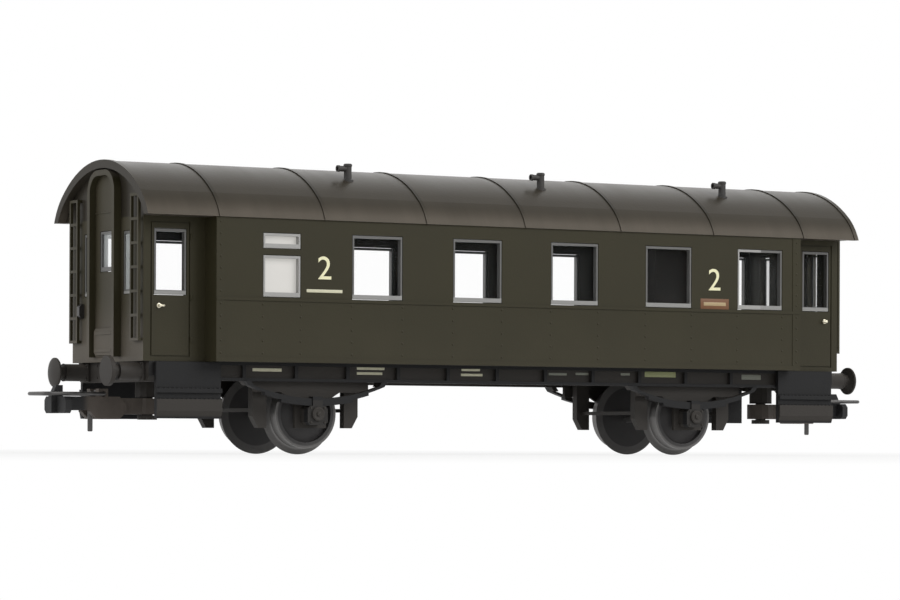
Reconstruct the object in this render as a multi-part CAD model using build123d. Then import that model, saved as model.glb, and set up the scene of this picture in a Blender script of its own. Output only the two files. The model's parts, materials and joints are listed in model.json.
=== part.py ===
from build123d import *
import math
import os

# Model railway passenger coach, two axles, H0 size (1:87), 16.5 mm gauge.
# Millimetres. X runs along the coach with the front at -X, +Z is up.
# Left is -Y. Z = 0 is the plane that the wheel flanges stand on.
# Apart from the roof vents, the coach is the same after half a turn about Z.

# Wheels and axles
tread_radius = 5.6
flange_height = 1.0
flange_width = 0.8
wheel_width = 2.8
wheel_hub_radius = 1.9
wheel_rim_thickness = 0.95
wheel_dish = 0.95
back_to_back = 14.4
axle_inset = 20.05
axle_radius = 0.9
axle_overhang = 2.5
axle_cone_length = 1.9
wheel_bore_clearance = 0.02
bearing_clearance = 0.25

# Body shell: heights count from the axle centre and from the body's bottom edge
saloon_half_length = 57.25
saloon_half_width = 16.9
vestibule_half_width = 13.0
vestibule_length = 10.95
wall = 1.2
body_rise = 8.2
side_height = 23.05
belt_height = 0.5
belt_proud = 0.18
belt_gap = 0.05
bottom_rail_height = 0.8
bottom_rail_proud = 0.12
corner_strip_width = 1.65
corner_strip_proud = 0.08
door_groove = 0.22
door_groove_depth = 0.2
door_leaf_width = 7.0
door_leaf_rise = 0.7
door_leaf_head_gap = 0.85
fit_clearance = 0.1

# Window openings: insets count from the saloon's front end, sills from the body's bottom edge,
# head gaps from the eaves
window_pitch = 19.1
first_window_inset = 29.5
last_window_margin = 3.0
window_width = 9.5
window_sill = 10.35
window_head_gap = 2.2
wc_window_inset = 11.85
wc_window_width = 6.9
wc_window_sill = 10.4
wc_transom_height = 1.0
wc_upper_height = 2.55
wc_window_head_gap = 2.3
door_inset = 4.75
door_window_width = 5.8
door_window_sill = 10.5
door_window_head_gap = 1.95
flank_window_gap = 0.85
flank_window_width = 2.8
flank_window_sill = 10.7
flank_window_head_gap = 2.15
gangway_window_width = 4.6
gangway_window_sill = 14.5
gangway_window_head_gap = 1.95
frame_side = 0.3
frame_top = 0.4
frame_bottom = 0.7
frame_set_back = 0.05
pane_recess = 0.95
end_pane_recess = 0.25
glazing_thickness = 0.8

# Roof: a crown arc between two tighter shoulder arcs that spring from below the eaves, where it is widest
roof_overhang = 1.0
roof_end_overhang = 1.4
roof_springing_drop = 3.62
crown_radius = 22.0
shoulder_radius = 10.0
roof_thickness = 1.1
roof_rim = 1.2
soffit_thickness = 1.0
seam_width = 0.55
seam_proud = 0.16
seam_end_margin = 2.0
seam_offset = 0.7
end_band_width = 0.8
end_band_proud = 0.15
vent_y = -9.1
vent_first_inset = 40.6
vent_pitch = 37.5
vent_end_margin = 5.0
vent_rise = 0.6
vent_stem_radius = 0.66
vent_pipe_radius = 0.5
vent_pipe_length = 2.0
vent_pipe_drop = 0.35
small_round_sides = 8
round_sides = 12

# Underframe
floor_thickness = 1.2
solebar_thickness = 1.6
solebar_web = 0.8
solebar_flange = 0.5
solebar_depth = 3.0
solebar_rib_width = 0.6
solebar_rib_inset = 0.1
solebar_rib_offset = 2.4
headstock_set_back = 1.1
headstock_thickness = 1.8
headstock_depth = 3.25
headstock_corner = 1.0
sill_rib_y = 3.6
sill_rib_width = 0.9
sill_rib_depth = 1.5

# Ballast plate and interior moulding
ballast_length = 88.0
ballast_width = 22.0
ballast_thickness = 1.5
cabin_floor_thickness = 0.8
cabin_edge_gap = 0.3
bench_back_rise = 6.1
bench_back_thickness = 0.8
bench_seat_rise = 3.3
bench_seat_depth = 4.6
bench_seat_overhang = 2.1
bench_seat_thickness = 0.9
bench_aisle = 3.2
partition_thickness = 0.8
partition_top_gap = 0.4

# End fittings: heights count from the body's bottom edge
gangway_half_width = 4.95
gangway_rise = 0.8
gangway_top_gap = 0.3
gangway_corner = 3.6
gangway_plate = 0.2
gangway_rim = 0.9
gangway_rim_proud = 1.3
fall_plate_side_gap = 0.5
fall_plate_rise = 1.1
fall_plate_height = 4.3
fall_plate_thickness = 0.5
fall_plate_cut = 0.5
fall_plate_bar = 0.5
fall_plate_bar_proud = 0.15
ladder_inset = 1.8
ladder_width = 3.0
ladder_rise = 3.2
ladder_top_gap = 0.27
ladder_bar = 0.45
ladder_stand_off = 0.35
ladder_rungs = 7
lamp_bracket_gap = 0.15
lamp_bracket_rise = 8.4
lamp_bracket_width = 0.9
lamp_bracket_height = 2.3
lamp_bracket_proud = 0.9
lamp_bracket_bevel = 0.45
handle_inset = 2.5
handle_rise = 8.8
handle_length = 1.1
handle_size = 0.5
handle_stand_off = 0.3

# Buffers: the drop counts from the body's bottom edge
buffer_y = 10.05
buffer_drop = 1.6
buffer_length = 6.2
buffer_head_radius = 2.4
buffer_head_thickness = 0.75
buffer_dome = 0.35
buffer_dome_flat_radius = 1.1
buffer_sleeve_radius = 1.4
buffer_sleeve_length = 4.2
buffer_plunger_radius = 1.05
buffer_base = 3.0
buffer_base_thickness = 0.5
buffer_base_cut = 0.4

# Door steps: heights count down from the body's bottom edge
step_lap = 2.45
step_end_inset = 1.9
apron_thickness = 0.7
apron_top_gap = 0.1
apron_height = 4.9
apron_lip = 0.55
apron_lip_height = 0.7
lower_step_gap = 1.0
lower_step_face = 1.9
lower_step_undercut = 1.2
lower_step_undercut_depth = 0.5

# Axle guards, axle boxes and springs: heights count from the axle centre
guard_gap = 1.0
guard_thickness = 0.6
guard_wing_half_width = 10.8
guard_wing_drop = 1.7
guard_top_half_width = 5.4
guard_leg_half_width = 2.9
guard_drop = 2.3
guard_shoulder_rise = 2.0
axle_box_half_width = 1.85
axle_box_drop = 1.8
axle_box_rise = 1.3
axle_box_cover = 1.6
axle_box_cut = 0.5
axle_box_cap_radius = 1.15
axle_box_cap = 0.35
spring_width = 1.3
spring_leaf = 0.4
spring_radius = 34.0
spring_half_lengths = (12.6, 9.6, 6.6)
spring_face_inset = 0.2
spring_buckle_half_width = 0.9
spring_buckle_lap = 0.3
shackle_width = 1.0

# Brake gear: heights count from the axle centre
brake_block_gap = 0.6
brake_block_width = 2.6
brake_block_drop = 2.3
brake_block_foot = 1.5
brake_block_bevel_height = 1.9
brake_block_thickness = 1.4
brake_block_inset = 0.1
brake_beam_rise = 0.3
brake_beam_size = 0.6
brake_beam_end_lap = 0.5

# Couplers: reaches count from the pivot, heights from the flange plane
coupler_pivot_inset = 7.2
coupler_pin_radius = 0.9
coupler_pin_clearance = 0.15
coupler_boss_radius = 2.0
coupler_pin_head_radius = 1.6
coupler_pin_head = 0.7
coupler_eye_radius = 2.4
coupler_eye_z = 6.4
coupler_eye_thickness = 2.6
coupler_arm_half_width = 1.6
coupler_body_half_width = 2.2
coupler_body_reach = 4.8
coupler_body_length = 6.4
coupler_body_z = 5.6
coupler_body_height = 3.6
coupler_body_cut = 1.2
coupler_cheek_height = 2.2
coupler_slot_half_width = 1.0
coupler_slot_reach = 7.4
coupler_slot_end_wall = 0.4
coupler_head_reach = 15.3
coupler_head_thickness = 1.1
coupler_head_half_width = 4.0
coupler_head_drop = 2.7
coupler_head_cut = 0.6
coupler_nose_half_width = 0.6
coupler_nose_proud = 0.9
coupler_nose_rise = 1.8
coupler_lug_wall = 0.4
bow_pivot_reach = 8.9
bow_wire_radius = 0.32
bow_half_width = 3.4
bow_reach = 20.0
bow_corner_cut = 0.9
bow_seat_gap = 0.1
bow_bore_clearance = 0.12
bow_hub_half_width = 0.7
bow_hub_radius = 0.75
bow_web_half_height = 0.45
trip_pin_reach = 10.2
trip_pin_width = 0.9
trip_pin_bottom_z = 3.6

# Places that follow from the sizes above
flange_radius = tread_radius + flange_height
axle_z = flange_radius
axle_x = saloon_half_length - axle_inset
wheel_inner_y = back_to_back / 2
wheel_outer_y = wheel_inner_y + wheel_width
axle_tip_y = wheel_outer_y + axle_overhang
guard_inner_y = wheel_outer_y + guard_gap
solebar_inner_y = guard_inner_y + guard_thickness
solebar_outer_y = solebar_inner_y + solebar_thickness
axle_box_face_y = axle_tip_y + axle_box_cover

body_bottom_z = axle_z + body_rise
eave_z = body_bottom_z + side_height
end_wall_x = saloon_half_length + vestibule_length
floor_top_z = body_bottom_z + floor_thickness
solebar_bottom_z = body_bottom_z - solebar_depth
headstock_x = end_wall_x - headstock_set_back
headstock_inner_x = headstock_x - headstock_thickness
buffer_z = body_bottom_z - buffer_drop
saloon_inner_y = saloon_half_width - wall
pane_face_y = saloon_half_width - pane_recess

roof_half_length = end_wall_x + roof_end_overhang
roof_half_width = saloon_half_width + roof_overhang
shoulder_centre_y = roof_half_width - shoulder_radius
shoulder_rise = math.sqrt((crown_radius - shoulder_radius) ** 2 - shoulder_centre_y ** 2)
shoulder_lean = math.atan2(shoulder_centre_y, shoulder_rise)
shoulder_centre_z = eave_z - roof_springing_drop
crown_centre_z = shoulder_centre_z - shoulder_rise
ridge_z = crown_centre_z + crown_radius
seams_each_way = int((roof_half_length - seam_end_margin) / window_pitch)

door_x = end_wall_x - door_inset
step_inner_x = saloon_half_length - step_lap
step_outer_x = end_wall_x - step_end_inset
ladder_y = vestibule_half_width - ladder_inset
gangway_plate_x = end_wall_x + gangway_plate
coupler_pivot_x = end_wall_x - coupler_pivot_inset
coupler_eye_top_z = coupler_eye_z + coupler_eye_thickness
coupler_body_top_z = coupler_body_z + coupler_body_height
bow_pivot_z = coupler_body_top_z + bow_seat_gap + bow_wire_radius
bow_bore_radius = bow_wire_radius + bow_bore_clearance
beyond = 10.0

HALF_TURN = Rot(0, 0, 180)
ENDS = (("front", HALF_TURN), ("rear", Rot(0, 0, 0)))
AXLES = (("front", -axle_x), ("rear", axle_x))
SIDES = (("left", Rot(0, 0, 0)), ("right", HALF_TURN))


def outline(*points):
    """A face bounded by straight lines through the given points."""
    return make_face(Polyline(*points, close=True))


def span(u_low, u_high, v_low, v_high, cut=0.0):
    """A rectangle between two pairs of limits, with its corners cut off where asked."""
    if cut <= 0:
        return Pos((u_low + u_high) / 2, (v_low + v_high) / 2) * Rectangle(u_high - u_low, v_high - v_low)
    return outline(
        (u_low + cut, v_low),
        (u_high - cut, v_low),
        (u_high, v_low + cut),
        (u_high, v_high - cut),
        (u_high - cut, v_high),
        (u_low + cut, v_high),
        (u_low, v_high - cut),
        (u_low, v_low + cut),
    )


def on_side(sketch, y_low, y_high):
    """Extrude a sketch drawn in X and Z between two Y values."""
    return extrude(Plane.XZ.offset(-y_high) * sketch, amount=y_high - y_low)


def on_end(sketch, x_low, x_high):
    """Extrude a sketch drawn in Y and Z between two X values."""
    return extrude(Plane.YZ.offset(x_low) * sketch, amount=x_high - x_low)


def in_plan(sketch, z_low, z_high):
    """Extrude a sketch drawn in X and Y between two heights."""
    return extrude(Plane.XY.offset(z_low) * sketch, amount=z_high - z_low)


def mirrored(shape):
    """The same shape on the other side of the coach."""
    return mirror(shape, about=Plane.XZ)


def joined(shapes):
    """Fuse a list of shapes into one."""
    shapes = list(shapes)
    return shapes[0].fuse(*shapes[1:]) if len(shapes) > 1 else shapes[0]


def grouped(shapes):
    """Keep the solids of some shapes apart, as one group."""
    return Compound(children=[solid for shape in shapes for solid in shape.solids()])


# Window openings: a row is (centre, width, sill height, height)
def opening_height(sill, head_gap):
    """The height of an opening between its sill and its gap below the eaves."""
    return side_height - sill - head_gap


def saloon_windows():
    """The large windows of the left side, as many as the saloon has room for."""
    first_x = first_window_inset - saloon_half_length
    last_x = saloon_half_length - last_window_margin - window_width / 2
    count = 1 + int((last_x - first_x) / window_pitch)
    sill_z = body_bottom_z + window_sill
    height = opening_height(window_sill, window_head_gap)
    return [(first_x + index * window_pitch, window_width, sill_z, height) for index in range(count)]


def wc_windows():
    """The lavatory's lower and upper window on the left side, with a transom between them."""
    centre = wc_window_inset - saloon_half_length
    lower_z = body_bottom_z + wc_window_sill
    height = opening_height(wc_window_sill, wc_window_head_gap)
    upper_z = lower_z + height - wc_upper_height
    return [
        (centre, wc_window_width, lower_z, height - wc_upper_height - wc_transom_height),
        (centre, wc_window_width, upper_z, wc_upper_height),
    ]


def end_windows():
    """The windows of an end wall: one each side of the gangway and one in its door."""
    flank_y = gangway_half_width + flank_window_gap + flank_window_width / 2
    flank_z = body_bottom_z + flank_window_sill
    flank_height = opening_height(flank_window_sill, flank_window_head_gap)
    return [
        (flank_y, flank_window_width, flank_z, flank_height),
        (-flank_y, flank_window_width, flank_z, flank_height),
        gangway_window(),
    ]


def gangway_window():
    """The window in the gangway door."""
    height = opening_height(gangway_window_sill, gangway_window_head_gap)
    return (0.0, gangway_window_width, body_bottom_z + gangway_window_sill, height)


def door_window():
    """The window in a vestibule door."""
    height = opening_height(door_window_sill, door_window_head_gap)
    return (door_x, door_window_width, body_bottom_z + door_window_sill, height)


def pane(window, inset=0.0):
    """The outline of one window, drawn in from its opening."""
    centre, width, sill, height = window
    left = centre - width / 2 + inset
    right = centre + width / 2 - inset
    return span(left, right, sill + inset, sill + height - inset)


def frame_ring(window):
    """The frame that lines one window opening, with a deeper bottom rail."""
    centre, width, sill, height = window
    half = width / 2 - fit_clearance - frame_side
    low_z = sill + fit_clearance + frame_bottom
    high_z = sill + height - fit_clearance - frame_top
    return pane(window, fit_clearance) - span(centre - half, centre + half, low_z, high_z)


def plan_outline(inset):
    """The coach in plan: a wide saloon with a narrower vestibule at each end."""
    saloon = Rectangle(2 * (saloon_half_length - inset), 2 * (saloon_half_width - inset))
    vestibules = Rectangle(2 * (end_wall_x - inset), 2 * (vestibule_half_width - inset))
    return saloon + vestibules


def roof_section(inset):
    """The roof's arch, drawn in by an inset and closed well below the eaves."""
    crown = crown_radius - inset
    shoulder = shoulder_radius - inset
    lean = shoulder_lean
    half = lean / 2
    turn = (math.pi / 2 + lean) / 2
    joint = (crown * math.sin(lean), crown_centre_z + crown * math.cos(lean))
    crown_mid = (crown * math.sin(half), crown_centre_z + crown * math.cos(half))
    shoulder_mid = (
        shoulder_centre_y + shoulder * math.sin(turn),
        shoulder_centre_z + shoulder * math.cos(turn),
    )
    springing = (shoulder_centre_y + shoulder, shoulder_centre_z)
    top = (0, crown_centre_z + crown)
    foot_z = shoulder_centre_z - beyond
    half_arch = make_face([
        ThreePointArc(top, crown_mid, joint),
        ThreePointArc(joint, shoulder_mid, springing),
        Line(springing, (springing[0], foot_z)),
        Line((springing[0], foot_z), (0, foot_z)),
        Line((0, foot_z), top),
    ])
    return half_arch + mirror(half_arch, about=Plane.YZ)


def roof_height(y, inset):
    """How high the roof's arch, drawn in by an inset, stands at a distance from the middle."""
    crown = crown_radius - inset
    shoulder = shoulder_radius - inset
    if y <= crown * math.sin(shoulder_lean):
        return crown_centre_z + math.sqrt(crown ** 2 - y ** 2)
    return shoulder_centre_z + math.sqrt(shoulder ** 2 - (y - shoulder_centre_y) ** 2)


def above_eaves(shape):
    """Keep what lies above the eaves."""
    below = in_plan(Rectangle(4 * roof_half_length, 4 * roof_half_width), eave_z - ridge_z, eave_z)
    return shape - below


def make_body_shell():
    """Sides, vestibules and end walls as one hollow moulding with its windows cut."""
    shell = in_plan(plan_outline(0) - plan_outline(wall), body_bottom_z, eave_z)
    side_y = saloon_half_width
    belt_top_z = body_bottom_z + window_sill - belt_gap
    strips = [
        (-saloon_half_length, saloon_half_length, belt_top_z - belt_height, belt_top_z, belt_proud),
        (
            -saloon_half_length,
            saloon_half_length,
            body_bottom_z,
            body_bottom_z + bottom_rail_height,
            bottom_rail_proud,
        ),
    ]
    for corner_x in (-saloon_half_length, saloon_half_length - corner_strip_width):
        strips.append((corner_x, corner_x + corner_strip_width, body_bottom_z, eave_z, corner_strip_proud))
    trim = [
        on_side(span(x_low, x_high, z_low, z_high), -side_y - proud, -side_y)
        for x_low, x_high, z_low, z_high, proud in strips
    ]
    shell = joined([shell, *trim, *[HALF_TURN * piece for piece in trim]])

    cuts = []
    for window in saloon_windows() + wc_windows():
        cut = on_side(pane(window), -side_y - wall, -side_y + 2 * wall)
        cuts += [cut, HALF_TURN * cut]
    leaf_height = opening_height(door_leaf_rise, door_leaf_head_gap)
    leaf = (door_x, door_leaf_width, body_bottom_z + door_leaf_rise, leaf_height)
    groove = on_side(
        pane(leaf) - pane(leaf, door_groove),
        -side_y,
        -vestibule_half_width + door_groove_depth,
    )
    for _, turn in ENDS:
        cuts.append(turn * on_side(pane(door_window()), -side_y, side_y))
        cuts += [turn * groove, turn * mirrored(groove)]
        for window in end_windows():
            cuts.append(turn * on_end(pane(window), end_wall_x - 2 * wall, end_wall_x + wall))
    return shell.cut(*cuts)


def make_roof():
    """The clip-on roof: arched shell, end bands, gables, vestibule soffits and raised seams."""
    hollow_x = end_wall_x - wall
    shell = on_end(roof_section(0), -roof_half_length, roof_half_length)
    seams = []
    for index in range(-seams_each_way, seams_each_way + 1):
        seam_x = seam_offset + index * window_pitch
        seams.append(on_end(roof_section(-seam_proud), seam_x - seam_width / 2, seam_x + seam_width / 2))
    band = on_end(roof_section(-end_band_proud), roof_half_length - end_band_width, roof_half_length)
    shell = joined([shell, *seams, band, HALF_TURN * band])
    hollow = on_end(roof_section(roof_thickness), -hollow_x, hollow_x)
    for _, turn in ENDS:
        soffit = span(-roof_half_width, roof_half_width, eave_z, eave_z + soffit_thickness)
        hollow = hollow - turn * on_end(soffit, saloon_half_length - wall, hollow_x)
        shell = shell - turn * on_end(roof_section(roof_rim), end_wall_x, roof_half_length)
    return above_eaves(shell - hollow)


def make_roof_vents():
    """Small pipe ventilators that stand in a row on the roof."""
    roof_solid = on_end(roof_section(0), -roof_half_length, roof_half_length)
    top_z = ridge_z + vent_rise
    pipe_z = top_z - vent_pipe_radius - vent_pipe_drop
    first_x = vent_first_inset - roof_half_length
    last_x = roof_half_length - vent_end_margin
    count = 1 + int((last_x - first_x) / vent_pitch)
    vents = []
    for index in range(count):
        x = first_x + index * vent_pitch
        stem_section = Pos(x, vent_y) * RegularPolygon(vent_stem_radius, small_round_sides)
        pipe_section = Pos(vent_y, pipe_z) * RegularPolygon(vent_pipe_radius, small_round_sides)
        stem = in_plan(stem_section, eave_z, top_z)
        pipe = on_end(pipe_section, x - vent_pipe_length, x)
        vents.append(stem.fuse(pipe) - roof_solid)
    return grouped(vents)


def make_underframe():
    """Floor, channel solebars with ribs, headstocks and the coupler bosses with their pins."""
    pieces = [in_plan(plan_outline(wall + fit_clearance), body_bottom_z, floor_top_z)]
    bar = span(solebar_inner_y, solebar_outer_y, solebar_bottom_z, body_bottom_z)
    channel = span(
        solebar_inner_y + solebar_web,
        solebar_outer_y + beyond,
        solebar_bottom_z + solebar_flange,
        body_bottom_z - solebar_flange,
    )
    solebar = on_end(bar - channel, -headstock_inner_x, headstock_inner_x)
    rib_pitch = window_pitch / 2
    rib_count = int(2 * step_inner_x / rib_pitch)
    first_rib_x = -rib_pitch * (rib_count - 1) / 2
    ribs = []
    for index in range(rib_count):
        rib_x = solebar_rib_offset + first_rib_x + index * rib_pitch
        half = solebar_rib_width / 2
        rib = span(rib_x - half, rib_x + half, solebar_bottom_z, body_bottom_z)
        ribs.append(on_side(rib, solebar_inner_y, solebar_outer_y - solebar_rib_inset))
    solebar = joined([solebar, *ribs])
    sill = span(sill_rib_y, sill_rib_y + sill_rib_width, body_bottom_z - sill_rib_depth, body_bottom_z)
    sill_rib = on_end(sill, -headstock_inner_x, headstock_inner_x)
    pieces += [solebar, HALF_TURN * solebar, sill_rib, mirrored(sill_rib)]

    half = vestibule_half_width
    headstock_z = body_bottom_z - headstock_depth
    beam = outline(
        (-half, body_bottom_z),
        (-half, headstock_z + headstock_corner),
        (-half + headstock_corner, headstock_z),
        (half - headstock_corner, headstock_z),
        (half, headstock_z + headstock_corner),
        (half, body_bottom_z),
    )
    pivot = Pos(coupler_pivot_x, 0)
    boss_z = coupler_eye_top_z + coupler_pin_clearance
    head_z = coupler_eye_z - coupler_pin_clearance
    boss = pivot * RegularPolygon(coupler_boss_radius, round_sides)
    pin_head = pivot * RegularPolygon(coupler_pin_head_radius, round_sides)
    for _, turn in ENDS:
        pieces.append(turn * on_end(beam, headstock_inner_x, headstock_x))
        pieces.append(turn * in_plan(boss, boss_z, body_bottom_z))
        pieces.append(turn * in_plan(pivot * Circle(coupler_pin_radius), head_z, boss_z))
        pieces.append(turn * in_plan(pin_head, head_z - coupler_pin_head, head_z))
    return joined(pieces)


def make_ballast():
    """The steel plate that lies on the floor."""
    return in_plan(Rectangle(ballast_length, ballast_width), floor_top_z, floor_top_z + ballast_thickness)


def make_interior():
    """Cabin floor, back-to-back benches and the lavatory partitions as one moulding."""
    plate_z = floor_top_z + ballast_thickness
    floor_z = plate_z + cabin_floor_thickness
    edge_y = saloon_inner_y - glazing_thickness - cabin_edge_gap
    edge_x = saloon_half_length - wall - cabin_edge_gap
    pieces = [in_plan(Rectangle(2 * edge_x, 2 * edge_y), plate_z, floor_z)]
    back = bench_back_thickness / 2
    seat = back + bench_seat_depth
    leg = seat - bench_seat_overhang
    seat_z = floor_z + bench_seat_rise
    back_z = floor_z + bench_back_rise
    bench = joined([
        span(-leg, leg, floor_z, seat_z),
        span(-seat, seat, seat_z - bench_seat_thickness, seat_z),
        span(-back, back, floor_z, back_z),
    ])
    for window_x, *_ in saloon_windows()[:-1]:
        row = on_side(Pos(window_x + window_pitch / 2, 0) * bench, -edge_y, -bench_aisle)
        pieces += [row, HALF_TURN * row]
    wc_x, wc_width, *_ = wc_windows()[0]
    room_x = wc_x + wc_width / 2 + 2 * partition_thickness
    room = span(-edge_x, room_x, -edge_y, -bench_aisle)
    inside = span(
        -edge_x - beyond,
        room_x - partition_thickness,
        -edge_y - beyond,
        -bench_aisle - partition_thickness,
    )
    partition = in_plan(room - inside, floor_z, eave_z - partition_top_gap)
    pieces += [partition, HALF_TURN * partition]
    return joined(pieces)


def make_side_glazing():
    """A clear strip behind the left side, with panes that stand up into the openings."""
    edge_x = saloon_half_length - wall - fit_clearance
    strip = on_side(
        span(-edge_x, edge_x, floor_top_z, eave_z - fit_clearance),
        -saloon_inner_y,
        -saloon_inner_y + glazing_thickness,
    )
    panes = [
        on_side(pane(window, fit_clearance), -pane_face_y, -saloon_inner_y)
        for window in saloon_windows()
    ]
    return joined([strip, *panes])


def make_wc_panes():
    """The milky panes of the lavatory windows of both sides."""
    panes = [
        on_side(pane(window, fit_clearance), -pane_face_y, -saloon_inner_y)
        for window in wc_windows()
    ]
    return grouped([*panes, *[HALF_TURN * sheet for sheet in panes]])


def make_end_glazing():
    """A clear U-shaped moulding inside the rear vestibule, with panes for its five windows."""
    inner_x = end_wall_x - wall
    inner_y = vestibule_half_width - wall
    around = span(saloon_half_length, inner_x, -inner_y, inner_y)
    hollow = span(
        saloon_half_length - beyond,
        inner_x - glazing_thickness,
        -inner_y + glazing_thickness,
        inner_y - glazing_thickness,
    )
    pieces = [in_plan(around - hollow, floor_top_z, eave_z - fit_clearance)]
    for window in end_windows():
        pieces.append(on_end(pane(window, fit_clearance), inner_x, end_wall_x - end_pane_recess))
    door_face_y = vestibule_half_width - pane_recess
    door_pane = on_side(pane(door_window(), fit_clearance), -door_face_y, -inner_y)
    pieces += [door_pane, mirrored(door_pane)]
    return joined(pieces)


def make_side_frames():
    """The frames in the window openings of the left side."""
    return grouped([
        on_side(frame_ring(window), -saloon_half_width + frame_set_back, -pane_face_y)
        for window in saloon_windows() + wc_windows()
    ])


def make_end_frames():
    """The frames of the rear vestibule's door windows, end windows and gangway door."""
    door_pane_y = vestibule_half_width - pane_recess
    door_ring = on_side(frame_ring(door_window()), -vestibule_half_width + frame_set_back, -door_pane_y)
    pane_x = end_wall_x - end_pane_recess
    *flanks, door = end_windows()
    rings = [on_end(frame_ring(window), pane_x, end_wall_x - frame_set_back) for window in flanks]
    rings.append(on_end(frame_ring(door), pane_x, gangway_plate_x - frame_set_back))
    return grouped([door_ring, mirrored(door_ring), *rings])


def arch_top(half_width, bottom_z, top_z, corner):
    """An upright outline with rounded upper corners."""
    height = top_z - bottom_z
    rounded = Pos(0, bottom_z + height / 2) * RectangleRounded(2 * half_width, height, corner)
    return rounded + span(-half_width, half_width, bottom_z, top_z - 2 * corner)


def make_gangway():
    """The gangway door with its raised surround on the rear end wall."""
    bottom_z = body_bottom_z + gangway_rise
    top_z = ridge_z - roof_rim - gangway_top_gap
    rim = gangway_rim
    whole = arch_top(gangway_half_width, bottom_z, top_z, gangway_corner)
    inner = arch_top(gangway_half_width - rim, bottom_z - beyond, top_z - rim, gangway_corner - rim)
    plate = on_end(whole, end_wall_x, gangway_plate_x)
    surround = on_end(whole - inner, end_wall_x, end_wall_x + gangway_rim_proud)
    opening = on_end(pane(gangway_window()), end_wall_x - wall, end_wall_x + beyond)
    return joined([plate, surround]) - opening


def make_fall_plate():
    """The bridge plate, folded up against the gangway door, with two stiffening bars."""
    half = gangway_half_width - gangway_rim - fall_plate_side_gap
    low_z = body_bottom_z + fall_plate_rise
    high_z = low_z + fall_plate_height
    outer_x = gangway_plate_x + fall_plate_thickness
    pieces = [on_end(span(-half, half, low_z, high_z, fall_plate_cut), gangway_plate_x, outer_x)]
    bar_half = half - fall_plate_cut
    for bar_z in (low_z + fall_plate_bar, high_z - 2 * fall_plate_bar):
        bar = span(-bar_half, bar_half, bar_z, bar_z + fall_plate_bar)
        pieces.append(on_end(bar, gangway_plate_x, outer_x + fall_plate_bar_proud))
    return joined(pieces)


def make_ladders():
    """The two end ladders of the rear end, each with stiles, rungs and feet on the wall."""
    back_x = end_wall_x + ladder_stand_off
    front_x = back_x + ladder_bar
    left_y = ladder_y - ladder_width / 2
    right_y = ladder_y + ladder_width / 2
    low_z = body_bottom_z + ladder_rise
    high_z = roof_height(right_y, roof_rim) - ladder_top_gap
    pieces = []
    for stile_y in (left_y, right_y - ladder_bar):
        pieces.append(on_end(span(stile_y, stile_y + ladder_bar, low_z, high_z), back_x, front_x))
        for foot_z in (low_z, high_z - ladder_bar):
            foot = span(stile_y, stile_y + ladder_bar, foot_z, foot_z + ladder_bar)
            pieces.append(on_end(foot, end_wall_x, front_x))
    rung_pitch = (high_z - low_z - ladder_bar) / (ladder_rungs - 1)
    for index in range(ladder_rungs):
        rung_z = low_z + index * rung_pitch
        pieces.append(on_end(span(left_y, right_y, rung_z, rung_z + ladder_bar), back_x, front_x))
    ladder = joined(pieces)
    return grouped([ladder, mirrored(ladder)])


def make_lamp_brackets():
    """The lamp iron on each end wall, beside its ladder."""
    outer_y = ladder_y - ladder_width / 2 - lamp_bracket_gap
    centre_z = body_bottom_z + lamp_bracket_rise
    half = lamp_bracket_height / 2
    iron = outline(
        (end_wall_x, centre_z - half),
        (end_wall_x + lamp_bracket_proud - lamp_bracket_bevel, centre_z - half),
        (end_wall_x + lamp_bracket_proud, centre_z - half + lamp_bracket_bevel),
        (end_wall_x + lamp_bracket_proud, centre_z + half - lamp_bracket_bevel),
        (end_wall_x + lamp_bracket_proud - lamp_bracket_bevel, centre_z + half),
        (end_wall_x, centre_z + half),
    )
    bracket = on_side(iron, -outer_y, -outer_y + lamp_bracket_width)
    return grouped([turn * bracket for _, turn in ENDS])


def make_door_handles():
    """A small lever with its boss on each of the four vestibule doors."""
    face_y = vestibule_half_width
    end_x = end_wall_x - handle_inset
    low_z = body_bottom_z + handle_rise - handle_size / 2
    lever = span(end_x - handle_length, end_x, low_z, low_z + handle_size)
    boss = span(end_x - handle_size, end_x, low_z, low_z + handle_size)
    handle = joined([
        on_side(lever, -face_y - handle_stand_off - handle_size, -face_y - handle_stand_off),
        on_side(boss, -face_y - handle_stand_off, -face_y),
    ])
    handles = [handle, mirrored(handle)]
    return grouped([turn * piece for _, turn in ENDS for piece in handles])


def make_buffer(domed):
    """A buffer along its own axis: base plate, sleeve, plunger and a turned head."""
    head_back = buffer_length - buffer_head_thickness
    rim_x = buffer_length - buffer_dome if domed else buffer_length
    points = [
        (buffer_length, 0),
        (head_back, 0),
        (head_back, buffer_head_radius),
        (rim_x, buffer_head_radius),
    ]
    if domed:
        points.append((buffer_length, buffer_dome_flat_radius))
    half = buffer_base / 2
    buffer = joined([
        revolve(outline(*points), Axis.X),
        on_end(RegularPolygon(buffer_plunger_radius, round_sides), 0, head_back),
        on_end(RegularPolygon(buffer_sleeve_radius, round_sides), 0, buffer_sleeve_length),
        on_end(span(-half, half, -half, half, buffer_base_cut), 0, buffer_base_thickness),
    ])
    return Pos(headstock_x, buffer_y, buffer_z) * buffer


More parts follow.
